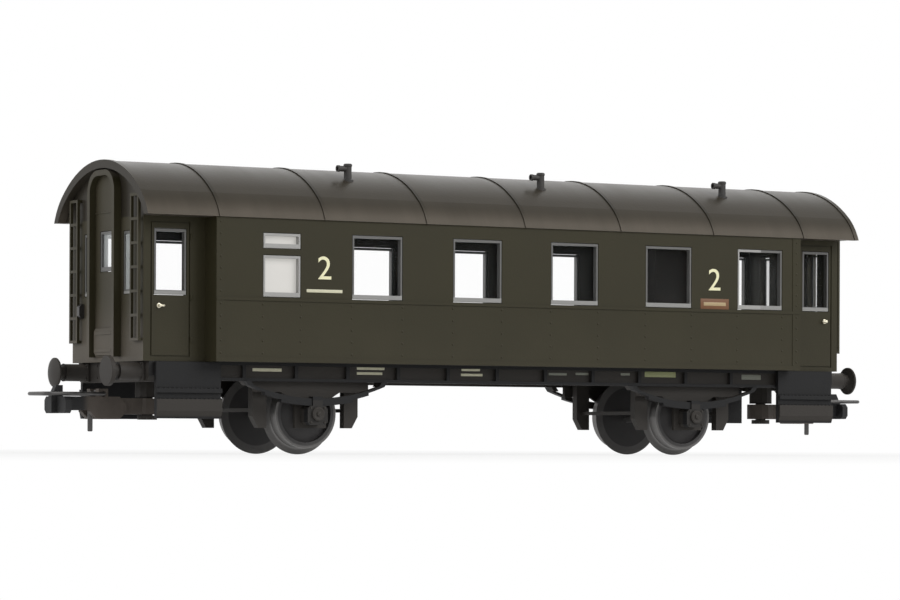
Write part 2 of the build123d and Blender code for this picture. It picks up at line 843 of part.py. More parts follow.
def make_steps():
    """The rear right door's steps: an apron with a lip, a riser below it and the lower step."""
    face_y = solebar_outer_y
    apron_y = face_y + apron_thickness
    lip_y = apron_y + apron_lip
    top_z = body_bottom_z - apron_top_gap
    lip_z = top_z - apron_height
    step_top_z = lip_z - lower_step_gap
    bend_z = step_top_z - lower_step_face
    bottom_z = bend_z - lower_step_undercut
    section = outline(
        (face_y, top_z),
        (face_y, bottom_z),
        (lip_y - lower_step_undercut_depth, bottom_z),
        (lip_y, bend_z),
        (lip_y, step_top_z),
        (apron_y, step_top_z),
        (apron_y, lip_z),
        (lip_y, lip_z),
        (lip_y, lip_z + apron_lip_height),
        (apron_y, lip_z + apron_lip_height),
        (apron_y, top_z),
    )
    return on_end(section, step_inner_x, step_outer_x)


def make_axle_guard():
    """The right-hand guard of one axle at X = 0: W-iron, axle box, leaf spring and shackles."""
    leg = guard_leg_half_width
    top = guard_top_half_width
    wing = guard_wing_half_width
    foot_z = axle_z - guard_drop
    shoulder_z = axle_z + guard_shoulder_rise
    wing_z = solebar_bottom_z - guard_wing_drop
    iron = outline(
        (-wing, body_bottom_z),
        (-wing, wing_z),
        (-top, wing_z),
        (-leg, shoulder_z),
        (-leg, foot_z),
        (leg, foot_z),
        (leg, shoulder_z),
        (top, wing_z),
        (wing, wing_z),
        (wing, body_bottom_z),
    )
    pieces = [on_side(iron, guard_inner_y, solebar_inner_y)]

    box_top_z = axle_z + axle_box_rise
    half = axle_box_half_width
    box = span(-half, half, axle_z - axle_box_drop, box_top_z, axle_box_cut)
    pieces.append(on_side(box, guard_inner_y, axle_box_face_y))
    cap = Pos(0, axle_z) * RegularPolygon(axle_box_cap_radius, round_sides)
    pieces.append(on_side(cap, axle_box_face_y, axle_box_face_y + axle_box_cap))

    # The leaves lie on one another, the longest on top and the shortest on the axle box
    outer_y = axle_box_face_y - spring_face_inset
    inner_y = outer_y - spring_width
    top_z = box_top_z + len(spring_half_lengths) * spring_leaf
    centre = Pos(0, top_z + spring_radius)
    for index, half_length in enumerate(spring_half_lengths):
        radius = spring_radius + index * spring_leaf
        ring = centre * (Circle(radius + spring_leaf) - Circle(radius))
        reach = span(-half_length, half_length, top_z - beyond, top_z + beyond)
        pieces.append(on_side(ring & reach, inner_y, outer_y))
    buckle = span(
        -spring_buckle_half_width,
        spring_buckle_half_width,
        box_top_z - spring_buckle_lap,
        top_z + spring_buckle_lap,
    )
    pieces.append(on_side(buckle, inner_y, axle_box_face_y))
    end_x = spring_half_lengths[0]
    end_z = top_z + spring_radius - math.sqrt(spring_radius ** 2 - end_x ** 2)
    for side in (-1, 1):
        link = outline(
            (side * (end_x - shackle_width), end_z - spring_leaf),
            (side * end_x, end_z - spring_leaf),
            (side * (end_x + shackle_width / 2), solebar_bottom_z),
            (side * (end_x - shackle_width / 2), solebar_bottom_z),
        )
        pieces.append(on_side(link, solebar_inner_y, outer_y))
    guard = joined(pieces)

    pocket = RegularPolygon(axle_radius + bearing_clearance, round_sides, major_radius=False)
    return guard - on_side(Pos(0, axle_z) * pocket, 0, axle_tip_y + bearing_clearance)


def make_brake_gear():
    """Both brake beams of one axle at X = 0, each with two blocks that hang beside the wheels."""
    block_x = flange_radius + brake_block_gap
    back_x = block_x + brake_block_width
    foot_z = axle_z - brake_block_drop
    block = outline(
        (block_x, body_bottom_z),
        (block_x, foot_z),
        (block_x + brake_block_foot, foot_z),
        (back_x, foot_z + brake_block_bevel_height),
        (back_x, body_bottom_z),
    )
    outer_y = wheel_outer_y - brake_block_inset
    inner_y = outer_y - brake_block_thickness
    hung = on_side(block, inner_y, outer_y)
    beam_x = (block_x + back_x - brake_beam_size) / 2
    beam_z = axle_z + brake_beam_rise
    beam = span(beam_x, beam_x + brake_beam_size, beam_z, beam_z + brake_beam_size)
    beam_end_y = inner_y + brake_beam_end_lap
    gear = joined([hung, mirrored(hung), on_side(beam, -beam_end_y, beam_end_y)])
    return grouped([gear, HALF_TURN * gear])


def make_axle():
    """A turned axle with pointed ends, on the Y axis."""
    cone_y = axle_tip_y - axle_cone_length
    half = outline((0, -axle_tip_y), (axle_radius, -cone_y), (axle_radius, cone_y), (0, axle_tip_y))
    return revolve(half, Axis.Y)


def make_wheel():
    """The right-hand wheel, turned about Y: hub, coned web, rim, tread, flange and a bore with flats."""
    bore = axle_radius + wheel_bore_clearance
    rim_inner = tread_radius - wheel_rim_thickness
    inner = wheel_inner_y
    outer = wheel_outer_y
    web = outer - wheel_dish
    half = outline(
        (0, inner),
        (flange_radius, inner),
        (tread_radius, inner + flange_width),
        (tread_radius, outer),
        (rim_inner, outer),
        (rim_inner, web),
        (wheel_hub_radius, outer),
        (0, outer),
    )
    fluted_bore = RegularPolygon(bore, round_sides, major_radius=False)
    return revolve(half, Axis.Y) - on_side(fluted_bore, inner - beyond, outer + beyond)


def make_coupler():
    """A coupler with its pivot at X = 0: eye, arm, slotted body, bow lugs, head and nose."""
    half = coupler_body_half_width
    body_x = coupler_body_reach
    body_end_x = body_x + coupler_body_length
    head_x = coupler_head_reach
    head_end_x = head_x + coupler_head_thickness
    body_top_z = coupler_body_top_z
    eye_top_z = coupler_eye_top_z
    arm = span(0, body_x + coupler_body_cut, -coupler_arm_half_width, coupler_arm_half_width)
    eye = RegularPolygon(coupler_eye_radius, round_sides)
    pieces = [in_plan(eye + arm, coupler_eye_z, eye_top_z)]

    side = span(body_x, body_end_x, coupler_body_z, body_top_z, coupler_body_cut)
    cheek = span(body_x + coupler_body_cut, head_end_x, body_top_z - coupler_cheek_height, body_top_z)
    lug_half = bow_bore_radius + coupler_lug_wall
    lug = span(
        bow_pivot_reach - lug_half,
        bow_pivot_reach + lug_half,
        body_top_z - lug_half,
        bow_pivot_z + lug_half,
    )
    pieces.append(on_side(side + cheek + lug, -half, half))

    head_z = body_top_z - coupler_head_drop
    wide = coupler_head_half_width
    pieces.append(on_end(span(-wide, wide, head_z, body_top_z, coupler_head_cut), head_x, head_end_x))
    nose_z = body_top_z + coupler_nose_rise
    nose = outline(
        (head_x, head_z),
        (head_end_x + coupler_nose_proud, head_z),
        (head_end_x + coupler_nose_proud, body_top_z),
        (head_end_x, nose_z),
        (head_x, nose_z),
    )
    pieces.append(on_side(nose, -coupler_nose_half_width, coupler_nose_half_width))

    slot = span(
        coupler_slot_reach,
        head_x - coupler_slot_end_wall,
        -coupler_slot_half_width,
        coupler_slot_half_width,
    )
    bore = RegularPolygon(coupler_pin_radius + coupler_pin_clearance, round_sides, major_radius=False)
    pivot_bore = in_plan(bore, 0, eye_top_z + beyond)
    slot_cut = in_plan(slot, 0, nose_z + beyond)
    hole = RegularPolygon(bow_bore_radius, small_round_sides, major_radius=False)
    pin_hole = on_side(Pos(bow_pivot_reach, bow_pivot_z) * hole, -beyond, beyond)
    return joined(pieces) - pivot_bore - slot_cut - pin_hole


def make_coupler_bow():
    """The wire bow of a coupler with its pivot at X = 0: bent wire, cross pin, hub and trip pin."""
    half = bow_half_width
    front_x = bow_reach - bow_wire_radius
    cut = bow_corner_cut
    wire = RegularPolygon(bow_wire_radius, small_round_sides)
    path = Polyline(
        (bow_pivot_reach, -half, bow_pivot_z),
        (front_x - cut, -half, bow_pivot_z),
        (front_x, -half + cut, bow_pivot_z),
        (front_x, half - cut, bow_pivot_z),
        (front_x - cut, half, bow_pivot_z),
        (bow_pivot_reach, half, bow_pivot_z),
    )
    bow = sweep(Plane(path @ 0, z_dir=path % 0) * wire, path=path, transition=Transition.RIGHT)
    axis = Pos(bow_pivot_reach, bow_pivot_z)
    pin_end = half + bow_wire_radius
    cross_pin = on_side(axis * wire, -pin_end, pin_end)
    hub = on_side(axis * Circle(bow_hub_radius), -bow_hub_half_width, bow_hub_half_width)
    web_low_z = bow_pivot_z - bow_web_half_height
    web_high_z = bow_pivot_z + bow_web_half_height
    pin_x = trip_pin_reach - trip_pin_width / 2
    web = span(bow_pivot_reach, pin_x + trip_pin_width, web_low_z, web_high_z)
    pin = span(pin_x, pin_x + trip_pin_width, trip_pin_bottom_z, web_high_z)
    blade = on_side(web + pin, -trip_pin_width / 2, trip_pin_width / 2)
    return joined([bow, cross_pin, hub, blade])


def build():
    """All the pieces by node name."""
    nodes = {
        "body_shell": make_body_shell(),
        "roof": make_roof(),
        "roof_vents": make_roof_vents(),
        "underframe": make_underframe(),
        "ballast_plate": make_ballast(),
        "interior_fittings": make_interior(),
        "wc_panes": make_wc_panes(),
        "lamp_brackets": make_lamp_brackets(),
        "door_handles": make_door_handles(),
    }
    side_pieces = {"side_glazing": make_side_glazing(), "window_frames": make_side_frames()}
    for side, turn in SIDES:
        for name, piece in side_pieces.items():
            nodes[f"{name}_{side}"] = turn * piece

    pivot = Pos(coupler_pivot_x, 0, 0)
    end_pieces = {
        "end_glazing": make_end_glazing(),
        "end_window_frames": make_end_frames(),
        "gangway": make_gangway(),
        "fall_plate": make_fall_plate(),
        "ladders": make_ladders(),
        "coupler": pivot * make_coupler(),
        "coupler_bow": pivot * make_coupler_bow(),
    }
    flat_buffer = make_buffer(domed=False)
    domed_buffer = make_buffer(domed=True)
    steps = make_steps()
    for end, turn in ENDS:
        for name, piece in end_pieces.items():
            nodes[f"{name}_{end}"] = turn * piece
        right, left = ("right", "left") if end == "rear" else ("left", "right")
        nodes[f"buffer_{end}_{right}"] = turn * flat_buffer
        nodes[f"buffer_{end}_{left}"] = turn * mirrored(domed_buffer)
        nodes[f"steps_{end}_{right}"] = turn * steps
        nodes[f"steps_{end}_{left}"] = turn * mirrored(steps)

    guard = make_axle_guard()
    brakes = make_brake_gear()
    axle = make_axle()
    wheel = make_wheel()
    for end, x in AXLES:
        place = Pos(x, 0, 0)
        centre = Pos(x, 0, axle_z)
        nodes[f"axle_guard_{end}_right"] = place * guard
        nodes[f"axle_guard_{end}_left"] = place * mirrored(guard)
        nodes[f"brake_gear_{end}"] = place * brakes
        nodes[f"axle_{end}"] = centre * axle
        nodes[f"wheel_{end}_right"] = centre * wheel
        nodes[f"wheel_{end}_left"] = centre * mirrored(wheel)
    return nodes


os.makedirs("parts", exist_ok=True)
for node_name, node_shape in build().items():
    export_step(node_shape, f"parts/{node_name}.step")
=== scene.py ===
import json
import math

import bmesh
import bpy
from mathutils import Matrix, Vector


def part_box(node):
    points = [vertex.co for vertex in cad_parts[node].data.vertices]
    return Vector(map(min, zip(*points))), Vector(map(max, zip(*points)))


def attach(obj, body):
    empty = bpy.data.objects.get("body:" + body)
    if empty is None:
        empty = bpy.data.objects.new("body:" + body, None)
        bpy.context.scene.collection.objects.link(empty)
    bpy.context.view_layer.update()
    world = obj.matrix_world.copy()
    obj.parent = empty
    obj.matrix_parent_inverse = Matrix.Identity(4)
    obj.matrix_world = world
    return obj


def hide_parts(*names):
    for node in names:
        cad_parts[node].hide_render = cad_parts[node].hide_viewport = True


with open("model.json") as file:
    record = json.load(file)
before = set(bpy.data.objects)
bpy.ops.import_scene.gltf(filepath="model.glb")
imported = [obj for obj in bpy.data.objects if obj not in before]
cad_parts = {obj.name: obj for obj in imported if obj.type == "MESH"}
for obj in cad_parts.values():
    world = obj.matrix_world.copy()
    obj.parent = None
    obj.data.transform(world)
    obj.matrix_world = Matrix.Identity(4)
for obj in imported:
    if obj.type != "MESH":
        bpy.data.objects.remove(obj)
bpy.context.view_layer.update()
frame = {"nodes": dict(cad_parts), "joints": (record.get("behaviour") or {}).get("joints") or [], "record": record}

bl_info = {
    "name": "Model Railway Coach",
    "version": (1, 0, 0),
    "blender": (4, 5, 0),
    "location": "3D View > Sidebar > Coach",
    "description": "Finishes, fittings and stage of a two-axle H0 model coach",
    "category": "Object",
}

MM = 0.001
COACH = "coach"
HALF_TURN = Matrix.Rotation(math.pi, 4, "Z")
TURNS = (Matrix.Identity(4), HALF_TURN)
ENDS = (("front", -1), ("rear", 1))
SIDES = (("left", -1), ("right", 1))
CORNERS = tuple((*end, *side) for end in ENDS for side in SIDES)

# Places that come from the frame
BODY_LOW, BODY_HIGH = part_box("body_shell")
WHEEL_LOW, WHEEL_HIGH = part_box("wheel_rear_right")
END_WALL_X = BODY_HIGH[0]
HEADSTOCK_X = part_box("underframe")[1][0]
AXLE_X = (WHEEL_LOW[0] + WHEEL_HIGH[0]) / 2
AXLE_Z = (WHEEL_LOW[2] + WHEEL_HIGH[2]) / 2
FLANGE_RADIUS = (WHEEL_HIGH[2] - WHEEL_LOW[2]) / 2
BODY_BOTTOM_Z = BODY_LOW[2]
EAVE_Z = BODY_HIGH[2]

# Places that the frame's boxes don't give
VESTIBULE_Y = 13.0 * MM
SIDE_Y = 16.9 * MM
SALOON_END_X = 57.25 * MM
SOLEBAR_Y = 12.4 * MM
STEP_FACE_Y = 14.0 * MM
LOWER_TREAD_Z = 8.8 * MM
UPPER_TREAD_Z = 10.5 * MM

# Window openings of the left side: centre of the first, pitch, number, width and sill height
WINDOW_FIRST_X = -27.75 * MM
WINDOW_PITCH = 19.1 * MM
WINDOW_COUNT = 5
WINDOW_WIDTH = 9.5 * MM
WINDOW_SILL_Z = 25.15 * MM
LAVATORY_X = -45.4 * MM
LAVATORY_WIDTH = 6.9 * MM

# Cross seams of the roof: the place of one of them and their pitch
SEAM_X = 0.7 * MM
SEAM_PITCH = WINDOW_PITCH

# Edges sharper than this stay sharp
SHARP_ANGLE = math.radians(40)


def colour_setting(label, note, default):
    """A linear colour that a user can change."""
    return bpy.props.FloatVectorProperty(
        name=label, description=note, subtype="COLOR", size=3, min=0, max=1, default=default)


def number_setting(label, note, default, **kind):
    """A number that a user can change, of some kind such as a unit."""
    return bpy.props.FloatProperty(name=label, description=note, default=default, **kind)


def length_setting(label, note, default):
    """A length that a user can change."""
    return number_setting(label, note, default, unit="LENGTH")


class CoachFinishes(bpy.types.PropertyGroup):
    """Colours of the coach's finishes, as linear values."""

    body: colour_setting("Body", "Paint of the sides and ends", (0.0305, 0.0268, 0.0128))
    roof: colour_setting("Roof", "Paint of the roof", (0.042, 0.0365, 0.0275))
    chassis: colour_setting("Chassis", "Plastic of the running gear", (0.0135, 0.0135, 0.014))
    frames: colour_setting("Window frames", "Paint of the window frames", (0.115, 0.114, 0.11))
    milky: colour_setting("Lavatory panes", "Milky glazing", (0.40, 0.39, 0.37))
    seats: colour_setting("Interior", "Plastic of the benches", (0.03, 0.019, 0.012))
    numerals: colour_setting("Numerals", "Printed class numerals", (0.83, 0.80, 0.52))
    steel: colour_setting("Steel", "Bare steel of axles and wheel treads", (0.42, 0.41, 0.40))
    # This colour serves for dust and also for painted light: inside the solebars, on the lower steps' faces, on
    # the ends and along the roof's eaves
    dust: colour_setting("Dust", "Dust in corners and along lower edges", (0.13, 0.112, 0.092))


class CoachSizes(bpy.types.PropertyGroup):
    """Sizes of the small fittings."""

    rivet_radius: length_setting("Rivet radius", "Radius of a side rivet's head", 0.2 * MM)
    rivet_height: length_setting("Rivet height", "How far a rivet's head stands out", 0.08 * MM)
    rivet_pitch: length_setting("Rivet pitch", "Distance between side rivets", 1.7 * MM)
    bolt_radius: length_setting("Bolt radius", "Radius of the chassis bolt heads", 0.2 * MM)
    numeral_height: length_setting("Numeral height", "Height of the class numerals", 3.7 * MM)
    numeral_width: length_setting("Numeral width", "Width of the class numerals", 2.45 * MM)
    print_thickness: length_setting("Print thickness", "Thickness of printed marks", 0.02 * MM)
    wire_radius: length_setting("Wire radius", "Radius of the coupler bow's wire", 0.3 * MM)


class CoachStage(bpy.types.PropertyGroup):
    """Camera, lamps and floor."""

    camera: bpy.props.FloatVectorProperty(
        name="Camera", description="Place of the camera", subtype="TRANSLATION", unit="LENGTH", size=3,
        default=(-0.3314, -0.5459, 0.00258))
    heading: number_setting(
        "Heading", "Turn of the view from +Y towards +X", math.radians(30.96), subtype="ANGLE")
    roll: number_setting("Roll", "Tilt of the camera about its line of sight", 0.004, subtype="ANGLE")
    lens: number_setting("Lens", "Focal length on a sensor 36 mm wide", 149.86, unit="CAMERA")
    shift: number_setting("Shift", "Upward shift, as a share of the picture's width", 0.1547)
    side_shift: number_setting("Side shift", "Sideways shift, as a share of the picture's width", 0.001)
    key_power: number_setting("Key lamp", "Power of the large lamp in front", 3.1, unit="POWER")
    fill_power: number_setting("Fill lamp", "Power of the lamp on the end's side", 1.4, unit="POWER")
    back_power: number_setting("Back lamp", "Power of the lamp behind the roof", 0.68, unit="POWER")
    sky: number_setting("Room light", "Strength of the even light all round", 1.0)
    ceiling: number_setting(
        "Ceiling", "Share of the room light from straight above", 0.1, subtype="FACTOR", min=0, max=1)
    glow: number_setting(
        "Floor glow", "How far the floor shows as plain white", 0.8, subtype="FACTOR", min=0, max=1)
    floor: colour_setting("Floor", "Colour of the floor", (0.86, 0.86, 0.85))


# Finishes have names of their own, apart from the frame's plain materials
FINISH_PREFIX = "coach_"

# Shader sockets whose names aren't plain title case
SOCKETS = {"specular": "Specular IOR Level"}


def arithmetic(operation, swapped=False):
    """A Python operator that adds a math node."""
    def apply(self, other=0.0):
        pair = (other, self) if swapped else (self, other)
        return self.finish.node("ShaderNodeMath", {"operation": operation}, {0: pair[0], 1: pair[1]})
    return apply


class Value:
    """A shader socket that can be used in Python arithmetic."""

    def __init__(self, finish, socket):
        self.finish = finish
        self.socket = socket

    __add__ = arithmetic("ADD")
    __radd__ = arithmetic("ADD", True)
    __sub__ = arithmetic("SUBTRACT")
    __rsub__ = arithmetic("SUBTRACT", True)
    __mul__ = arithmetic("MULTIPLY")
    __rmul__ = arithmetic("MULTIPLY", True)
    __abs__ = arithmetic("ABSOLUTE")
    __pow__ = arithmetic("POWER")
    __mod__ = arithmetic("FLOORED_MODULO")
    __or__ = arithmetic("MAXIMUM")


class Nodes:
    """A shader tree that is cleared and then built up by expressions."""

    def __init__(self, owner):
        owner.use_nodes = True
        self.tree = owner.node_tree
        self.tree.nodes.clear()

    def node(self, kind, settings=None, values=None, output=0):
        """Add a node, set it up, feed its sockets and return one of its outputs."""
        node = self.tree.nodes.new(kind)
        for name, setting in (settings or {}).items():
            setattr(node, name, setting)
        self.feed(node, values or {})
        return Value(self, node.outputs[output])

    def feed(self, node, values):
        """Link or set the sockets of a node."""
        for name, value in values.items():
            if isinstance(value, Value):
                self.tree.links.new(value.socket, node.inputs[name])
            else:
                node.inputs[name].default_value = value

    def fade(self, value, low, high):
        """0 at one value and 1 at another, with a soft step between them."""
        settings = {"interpolation_type": "SMOOTHSTEP"}
        return self.node("ShaderNodeMapRange", settings, {0: value, 1: low, 2: high})

    def clear_sight(self):
        """1 for rays that see the white surround: from the camera, mirrored or let through."""
        camera = self.node("ShaderNodeLightPath", output="Is Camera Ray")
        mirrored = self.node("ShaderNodeLightPath", output="Is Glossy Ray")
        let_through = self.node("ShaderNodeLightPath", output="Is Transmission Ray")
        return camera | mirrored | let_through


class Finish(Nodes):
    """A procedural material: one Principled shader and the nodes that feed it."""

    def __init__(self, name):
        self.material = bpy.data.materials.new(FINISH_PREFIX + name)
        super().__init__(self.material)
        self.output = self.tree.nodes.new("ShaderNodeOutputMaterial")
        self.shader = self.tree.nodes.new("ShaderNodeBsdfPrincipled")
        self.tree.links.new(self.shader.outputs["BSDF"], self.output.inputs["Surface"])
        self.place = self.node("ShaderNodeTexCoord", output="Object")

    def surface(self, **values):
        """Feed the shader: base_color feeds the socket Base Color, and so on."""
        names = {key: SOCKETS.get(key, key.replace("_", " ").title()) for key in values}
        self.feed(self.shader, {names[key]: value for key, value in values.items()})
        return self.material

    def axis(self, index):
        """One coordinate of the piece's own place."""
        return self.node("ShaderNodeSeparateXYZ", values={0: self.place}, output=index)

    def slant(self, index):
        """How far the surface faces along one axis, from -1 to 1."""
        normal = self.node("ShaderNodeNewGeometry", output="Normal")
        return self.node("ShaderNodeSeparateXYZ", values={0: normal}, output=index)

    def noise(self, scale, detail=2.0, stretch=None):
        """Cloudy noise with a number of waves in each metre."""
        place = self.place
        if stretch:
            place = self.node("ShaderNodeMapping", values={"Vector": self.place, "Scale": stretch})
        values = {"Vector": place, "Scale": scale, "Detail": detail}
        return self.node("ShaderNodeTexNoise", values=values)

    def blend(self, factor, first, second):
        """Mix two colours."""
        rgba = [colour if isinstance(colour, Value) else (*colour, 1.0) for colour in (first, second)]
        values = {0: factor, 6: rgba[0], 7: rgba[1]}
        return self.node("ShaderNodeMix", {"data_type": "RGBA"}, values, output=2)

    def clouded(self, cloud, dark, light, rough, rougher, metallic=0.0):
        """Feed the shader with two colours and two roughnesses, by a cloud."""
        tone = self.blend(cloud, dark, light)
        self.surface(base_color=tone, metallic=metallic, roughness=rough + rougher * cloud)

    def relief(self, height, depth):
        """A bump of the given depth in metres."""
        return self.node("ShaderNodeBump", values={"Height": height, "Strength": 1.0, "Distance": depth})


def shade(colour, factor):
    """A colour made darker or lighter."""
    return tuple(channel * factor for channel in colour)


def colours():
    """The colours that the user can set."""
    return bpy.context.scene.coach_finishes


def sizes():
    """The sizes that the user can set."""
    return bpy.context.scene.coach_sizes


# Finishes
def body_paint(finish):
    """Satin paint on a moulding, a little clouded, with dust along its lower edge, dust and painted light from the
    floor on its ends, and lighter faces that look up.
    """
    colour = tuple(colours().body)
    cloud = finish.noise(60, 3)
    grain = finish.noise(2600, 2)
    tone = finish.blend(cloud, shade(colour, 0.82), shade(colour, 1.18))
    dust_rise = 12 * MM
    low = finish.fade(finish.axis(2), BODY_BOTTOM_Z + dust_rise, BODY_BOTTOM_Z)
    # The ends take dust and painted light from the floor, stronger towards the bottom
    ends = finish.fade(abs(finish.axis(0)), END_WALL_X - 0.4 * MM, END_WALL_X - 0.1 * MM)
    ends = ends * finish.fade(abs(finish.slant(0)), 0.6, 0.8)
    dust_and_light_share = low * cloud * 0.08 + ends * (0.12 + 0.5 * low) * (0.6 + 0.8 * cloud)
    # Faces that look up are made lighter
    dust_and_light_share = dust_and_light_share + 0.6 * finish.fade(finish.slant(2), 0.5, 0.9)
    tone = finish.blend(dust_and_light_share, tone, tuple(colours().dust))
    finish.surface(
        base_color=tone,
        roughness=0.4 + 0.2 * cloud,
        normal=finish.relief(grain, 0.012 * MM),
        specular=0.2,
    )


def roof_paint(finish):
    """Matt paint with faint streaks that run down from the ridge, dark seams, a painted sheen along the eaves and
    painted shade on the end faces.
    """
    colour = tuple(colours().roof)
    streak = finish.noise(55, 4, (6.0, 0.6, 0.6))
    grain = finish.noise(2200, 3)
    tone = finish.blend(streak, shade(colour, 0.84), shade(colour, 1.16))
    along = (finish.axis(0) - SEAM_X + SEAM_PITCH / 2) % SEAM_PITCH
    seam = 1.0 - finish.fade(abs(along - SEAM_PITCH / 2), 0.25 * MM, 0.6 * MM)
    seam = seam * finish.fade(finish.axis(2), EAVE_Z + 1.0 * MM, EAVE_Z + 5.0 * MM)
    # The roof's end faces get painted shade
    ends = finish.fade(abs(finish.slant(0)), 0.6, 0.9)
    # A lighter band along the eaves, painted sheen
    painted_eave_sheen = finish.fade(finish.axis(2), EAVE_Z + 3.4 * MM, EAVE_Z + 0.6 * MM) * (1.0 - ends)
    tone = finish.blend(painted_eave_sheen * (0.3 + 0.3 * streak), tone, tuple(colours().dust))
    # Dark seams, and painted shade on the end faces
    tone = finish.blend((0.55 * seam) | (0.65 * ends), tone, shade(colour, 0.4))
    finish.surface(
        base_color=tone,
        roughness=0.3 + 0.12 * streak,
        normal=finish.relief(grain, 0.012 * MM),
        specular=0.15,
        specular_tint=(1.0, 0.9, 0.76, 1.0),
    )


def chassis_black(finish):
    """Matt black plastic with dust on what faces up, painted light on the parts inside the solebars, which lie in
    the body's shade, and a painted highlight on the lower steps' faces.
    """
    colour = tuple(colours().chassis)
    cloud = finish.noise(140, 3)
    grain = finish.noise(3000, 2)
    up = finish.fade(finish.slant(2), 0.3, 1.0)
    out = abs(finish.axis(1))
    soft = 0.1 * MM
    # Painted light on the parts inside the solebars' faces, which lie in the body's shade
    painted_light_inside = 1.0 - finish.fade(out, SOLEBAR_Y + soft, SOLEBAR_Y + 7 * soft)
    # Painted highlight on the outer faces of the lower steps, below their treads
    step = finish.fade(out, STEP_FACE_Y, STEP_FACE_Y + 2 * soft)
    step = step * finish.fade(finish.axis(2), LOWER_TREAD_Z + soft, LOWER_TREAD_Z - soft)
    # Dust on what faces up, with the painted light and the painted highlight
    dust_and_light_share = up * cloud * 0.35 + 0.21 * painted_light_inside + 0.22 * step
    tone = finish.blend(cloud, shade(colour, 0.7), shade(colour, 1.2))
    finish.surface(
        base_color=finish.blend(dust_and_light_share, tone, tuple(colours().dust)),
        roughness=0.45 + 0.2 * cloud,
        normal=finish.relief(grain, 0.012 * MM),
        specular=0.2,
    )


def vent_black(finish):
    """Sooty dark plastic."""
    finish.clouded(finish.noise(900, 3), (0.014, 0.013, 0.012), (0.04, 0.036, 0.032), 0.5, 0.2)


def ballast_steel(finish):
    """Cut steel sheet with rolling marks along it."""
    brushed = finish.noise(1200, 2, (0.05, 1.0, 1.0))
    finish.clouded(brushed, (0.34, 0.34, 0.35), (0.5, 0.5, 0.51), 0.3, 0.2, 1.0)


def interior_plastic(finish):
    """Matt brown plastic with a faint wood-like streak."""
    colour = tuple(colours().seats)
    streak = finish.noise(300, 3, (1.0, 0.15, 1.0))
    finish.clouded(streak, shade(colour, 0.75), shade(colour, 1.2), 0.55, 0.15)


def clear_glazing(finish):
    """Clear plastic, thin enough to look straight through, with faint smears and dull end panes."""
    smear = finish.noise(160, 3)
    ends = finish.fade(abs(finish.axis(0)), END_WALL_X - 0.8 * MM, END_WALL_X - 0.5 * MM)
    ends = ends * finish.fade(abs(finish.slant(0)), 0.7, 0.9)
    finish.surface(
        base_color=(0.86, 0.9, 0.9, 1.0),
        roughness=0.03 + 0.06 * smear,
        alpha=0.003 + 0.01 * smear + ends * (0.34 + 0.16 * smear),
    )


def milky_glazing(finish):
    """Milky plastic, a little uneven, glowing with painted light as if lit from behind."""
    colour = tuple(colours().milky)
    cloud = finish.noise(180, 2)
    tone = finish.blend(cloud, shade(colour, 0.94), shade(colour, 1.05))
    finish.surface(
        base_color=tone,
        roughness=0.25 + 0.15 * cloud,
        # The glow is painted light, standing in for light coming through the pane from behind
        emission_color=tone,
        emission_strength=0.75,
    )


def frame_grey(finish):
    """Printed grey with a fine grain, lighter on the bottom rails and round the lavatory panes."""
    colour = tuple(colours().frames)
    grain = finish.noise(4000, 2)
    tone = finish.blend(grain, shade(colour, 0.85), shade(colour, 1.15))
    soft = 0.1 * MM
    rail_top = WINDOW_SILL_Z + 0.85 * MM
    rail = finish.fade(finish.axis(2), rail_top + soft, rail_top - soft)
    lavatory = abs(abs(finish.axis(0)) - abs(LAVATORY_X))
    lavatory = finish.fade(lavatory, LAVATORY_WIDTH / 2 + soft, LAVATORY_WIDTH / 2 - soft)
    tone = finish.blend((0.55 * rail) | (0.8 * lavatory), tone, shade(colour, 3.3))
    finish.surface(base_color=tone, metallic=0.25 * grain, roughness=0.3 + 0.15 * grain)


def handle_brass(finish):
    """Pale brass paint, brighter where it is rubbed."""
    grain = finish.noise(5000, 2)
    tone = finish.blend(grain, (0.62, 0.55, 0.38), (0.86, 0.82, 0.68))
    finish.surface(base_color=tone, metallic=0.4 + 0.2 * grain, roughness=0.25 + 0.1 * grain)


def axle_steel(finish):
    """Turned steel with fine rings."""
    rings = finish.noise(2600, 2, (0.1, 1.0, 0.1))
    colour = tuple(colours().steel)
    finish.clouded(rings, shade(colour, 0.7), colour, 0.28, 0.15, 1.0)


def wheel_black(finish):
    """Blackened wheel with a bright running tread and a worn ring at the rim's edge."""
    across = abs(finish.axis(0)) - AXLE_X
    above = finish.axis(2) - AXLE_Z
    radius = (across * across + above * above) ** 0.5
    cloud = finish.noise(220, 3)
    flange_height = 1.0 * MM
    tread_radius = FLANGE_RADIUS - flange_height
    tread = finish.fade(radius, tread_radius - 0.12 * MM, tread_radius - 0.02 * MM)
    tread = tread * finish.fade(abs(finish.axis(1)), WHEEL_LOW[1] + 0.5 * MM, WHEEL_LOW[1] + 0.8 * MM)
    rim = finish.fade(radius, tread_radius - 0.5 * MM, tread_radius - 0.3 * MM)
    black = finish.blend(cloud, (0.034, 0.033, 0.033), (0.058, 0.055, 0.055))
    worn = finish.blend(rim * (0.5 + 0.3 * cloud), black, (0.16, 0.155, 0.15))
    tone = finish.blend(tread * 0.75, worn, shade(tuple(colours().steel), 0.45))
    finish.surface(
        base_color=tone,
        metallic=0.75 * tread,
        roughness=0.46 - 0.14 * tread + 0.12 * cloud,
        specular=0.25,
    )


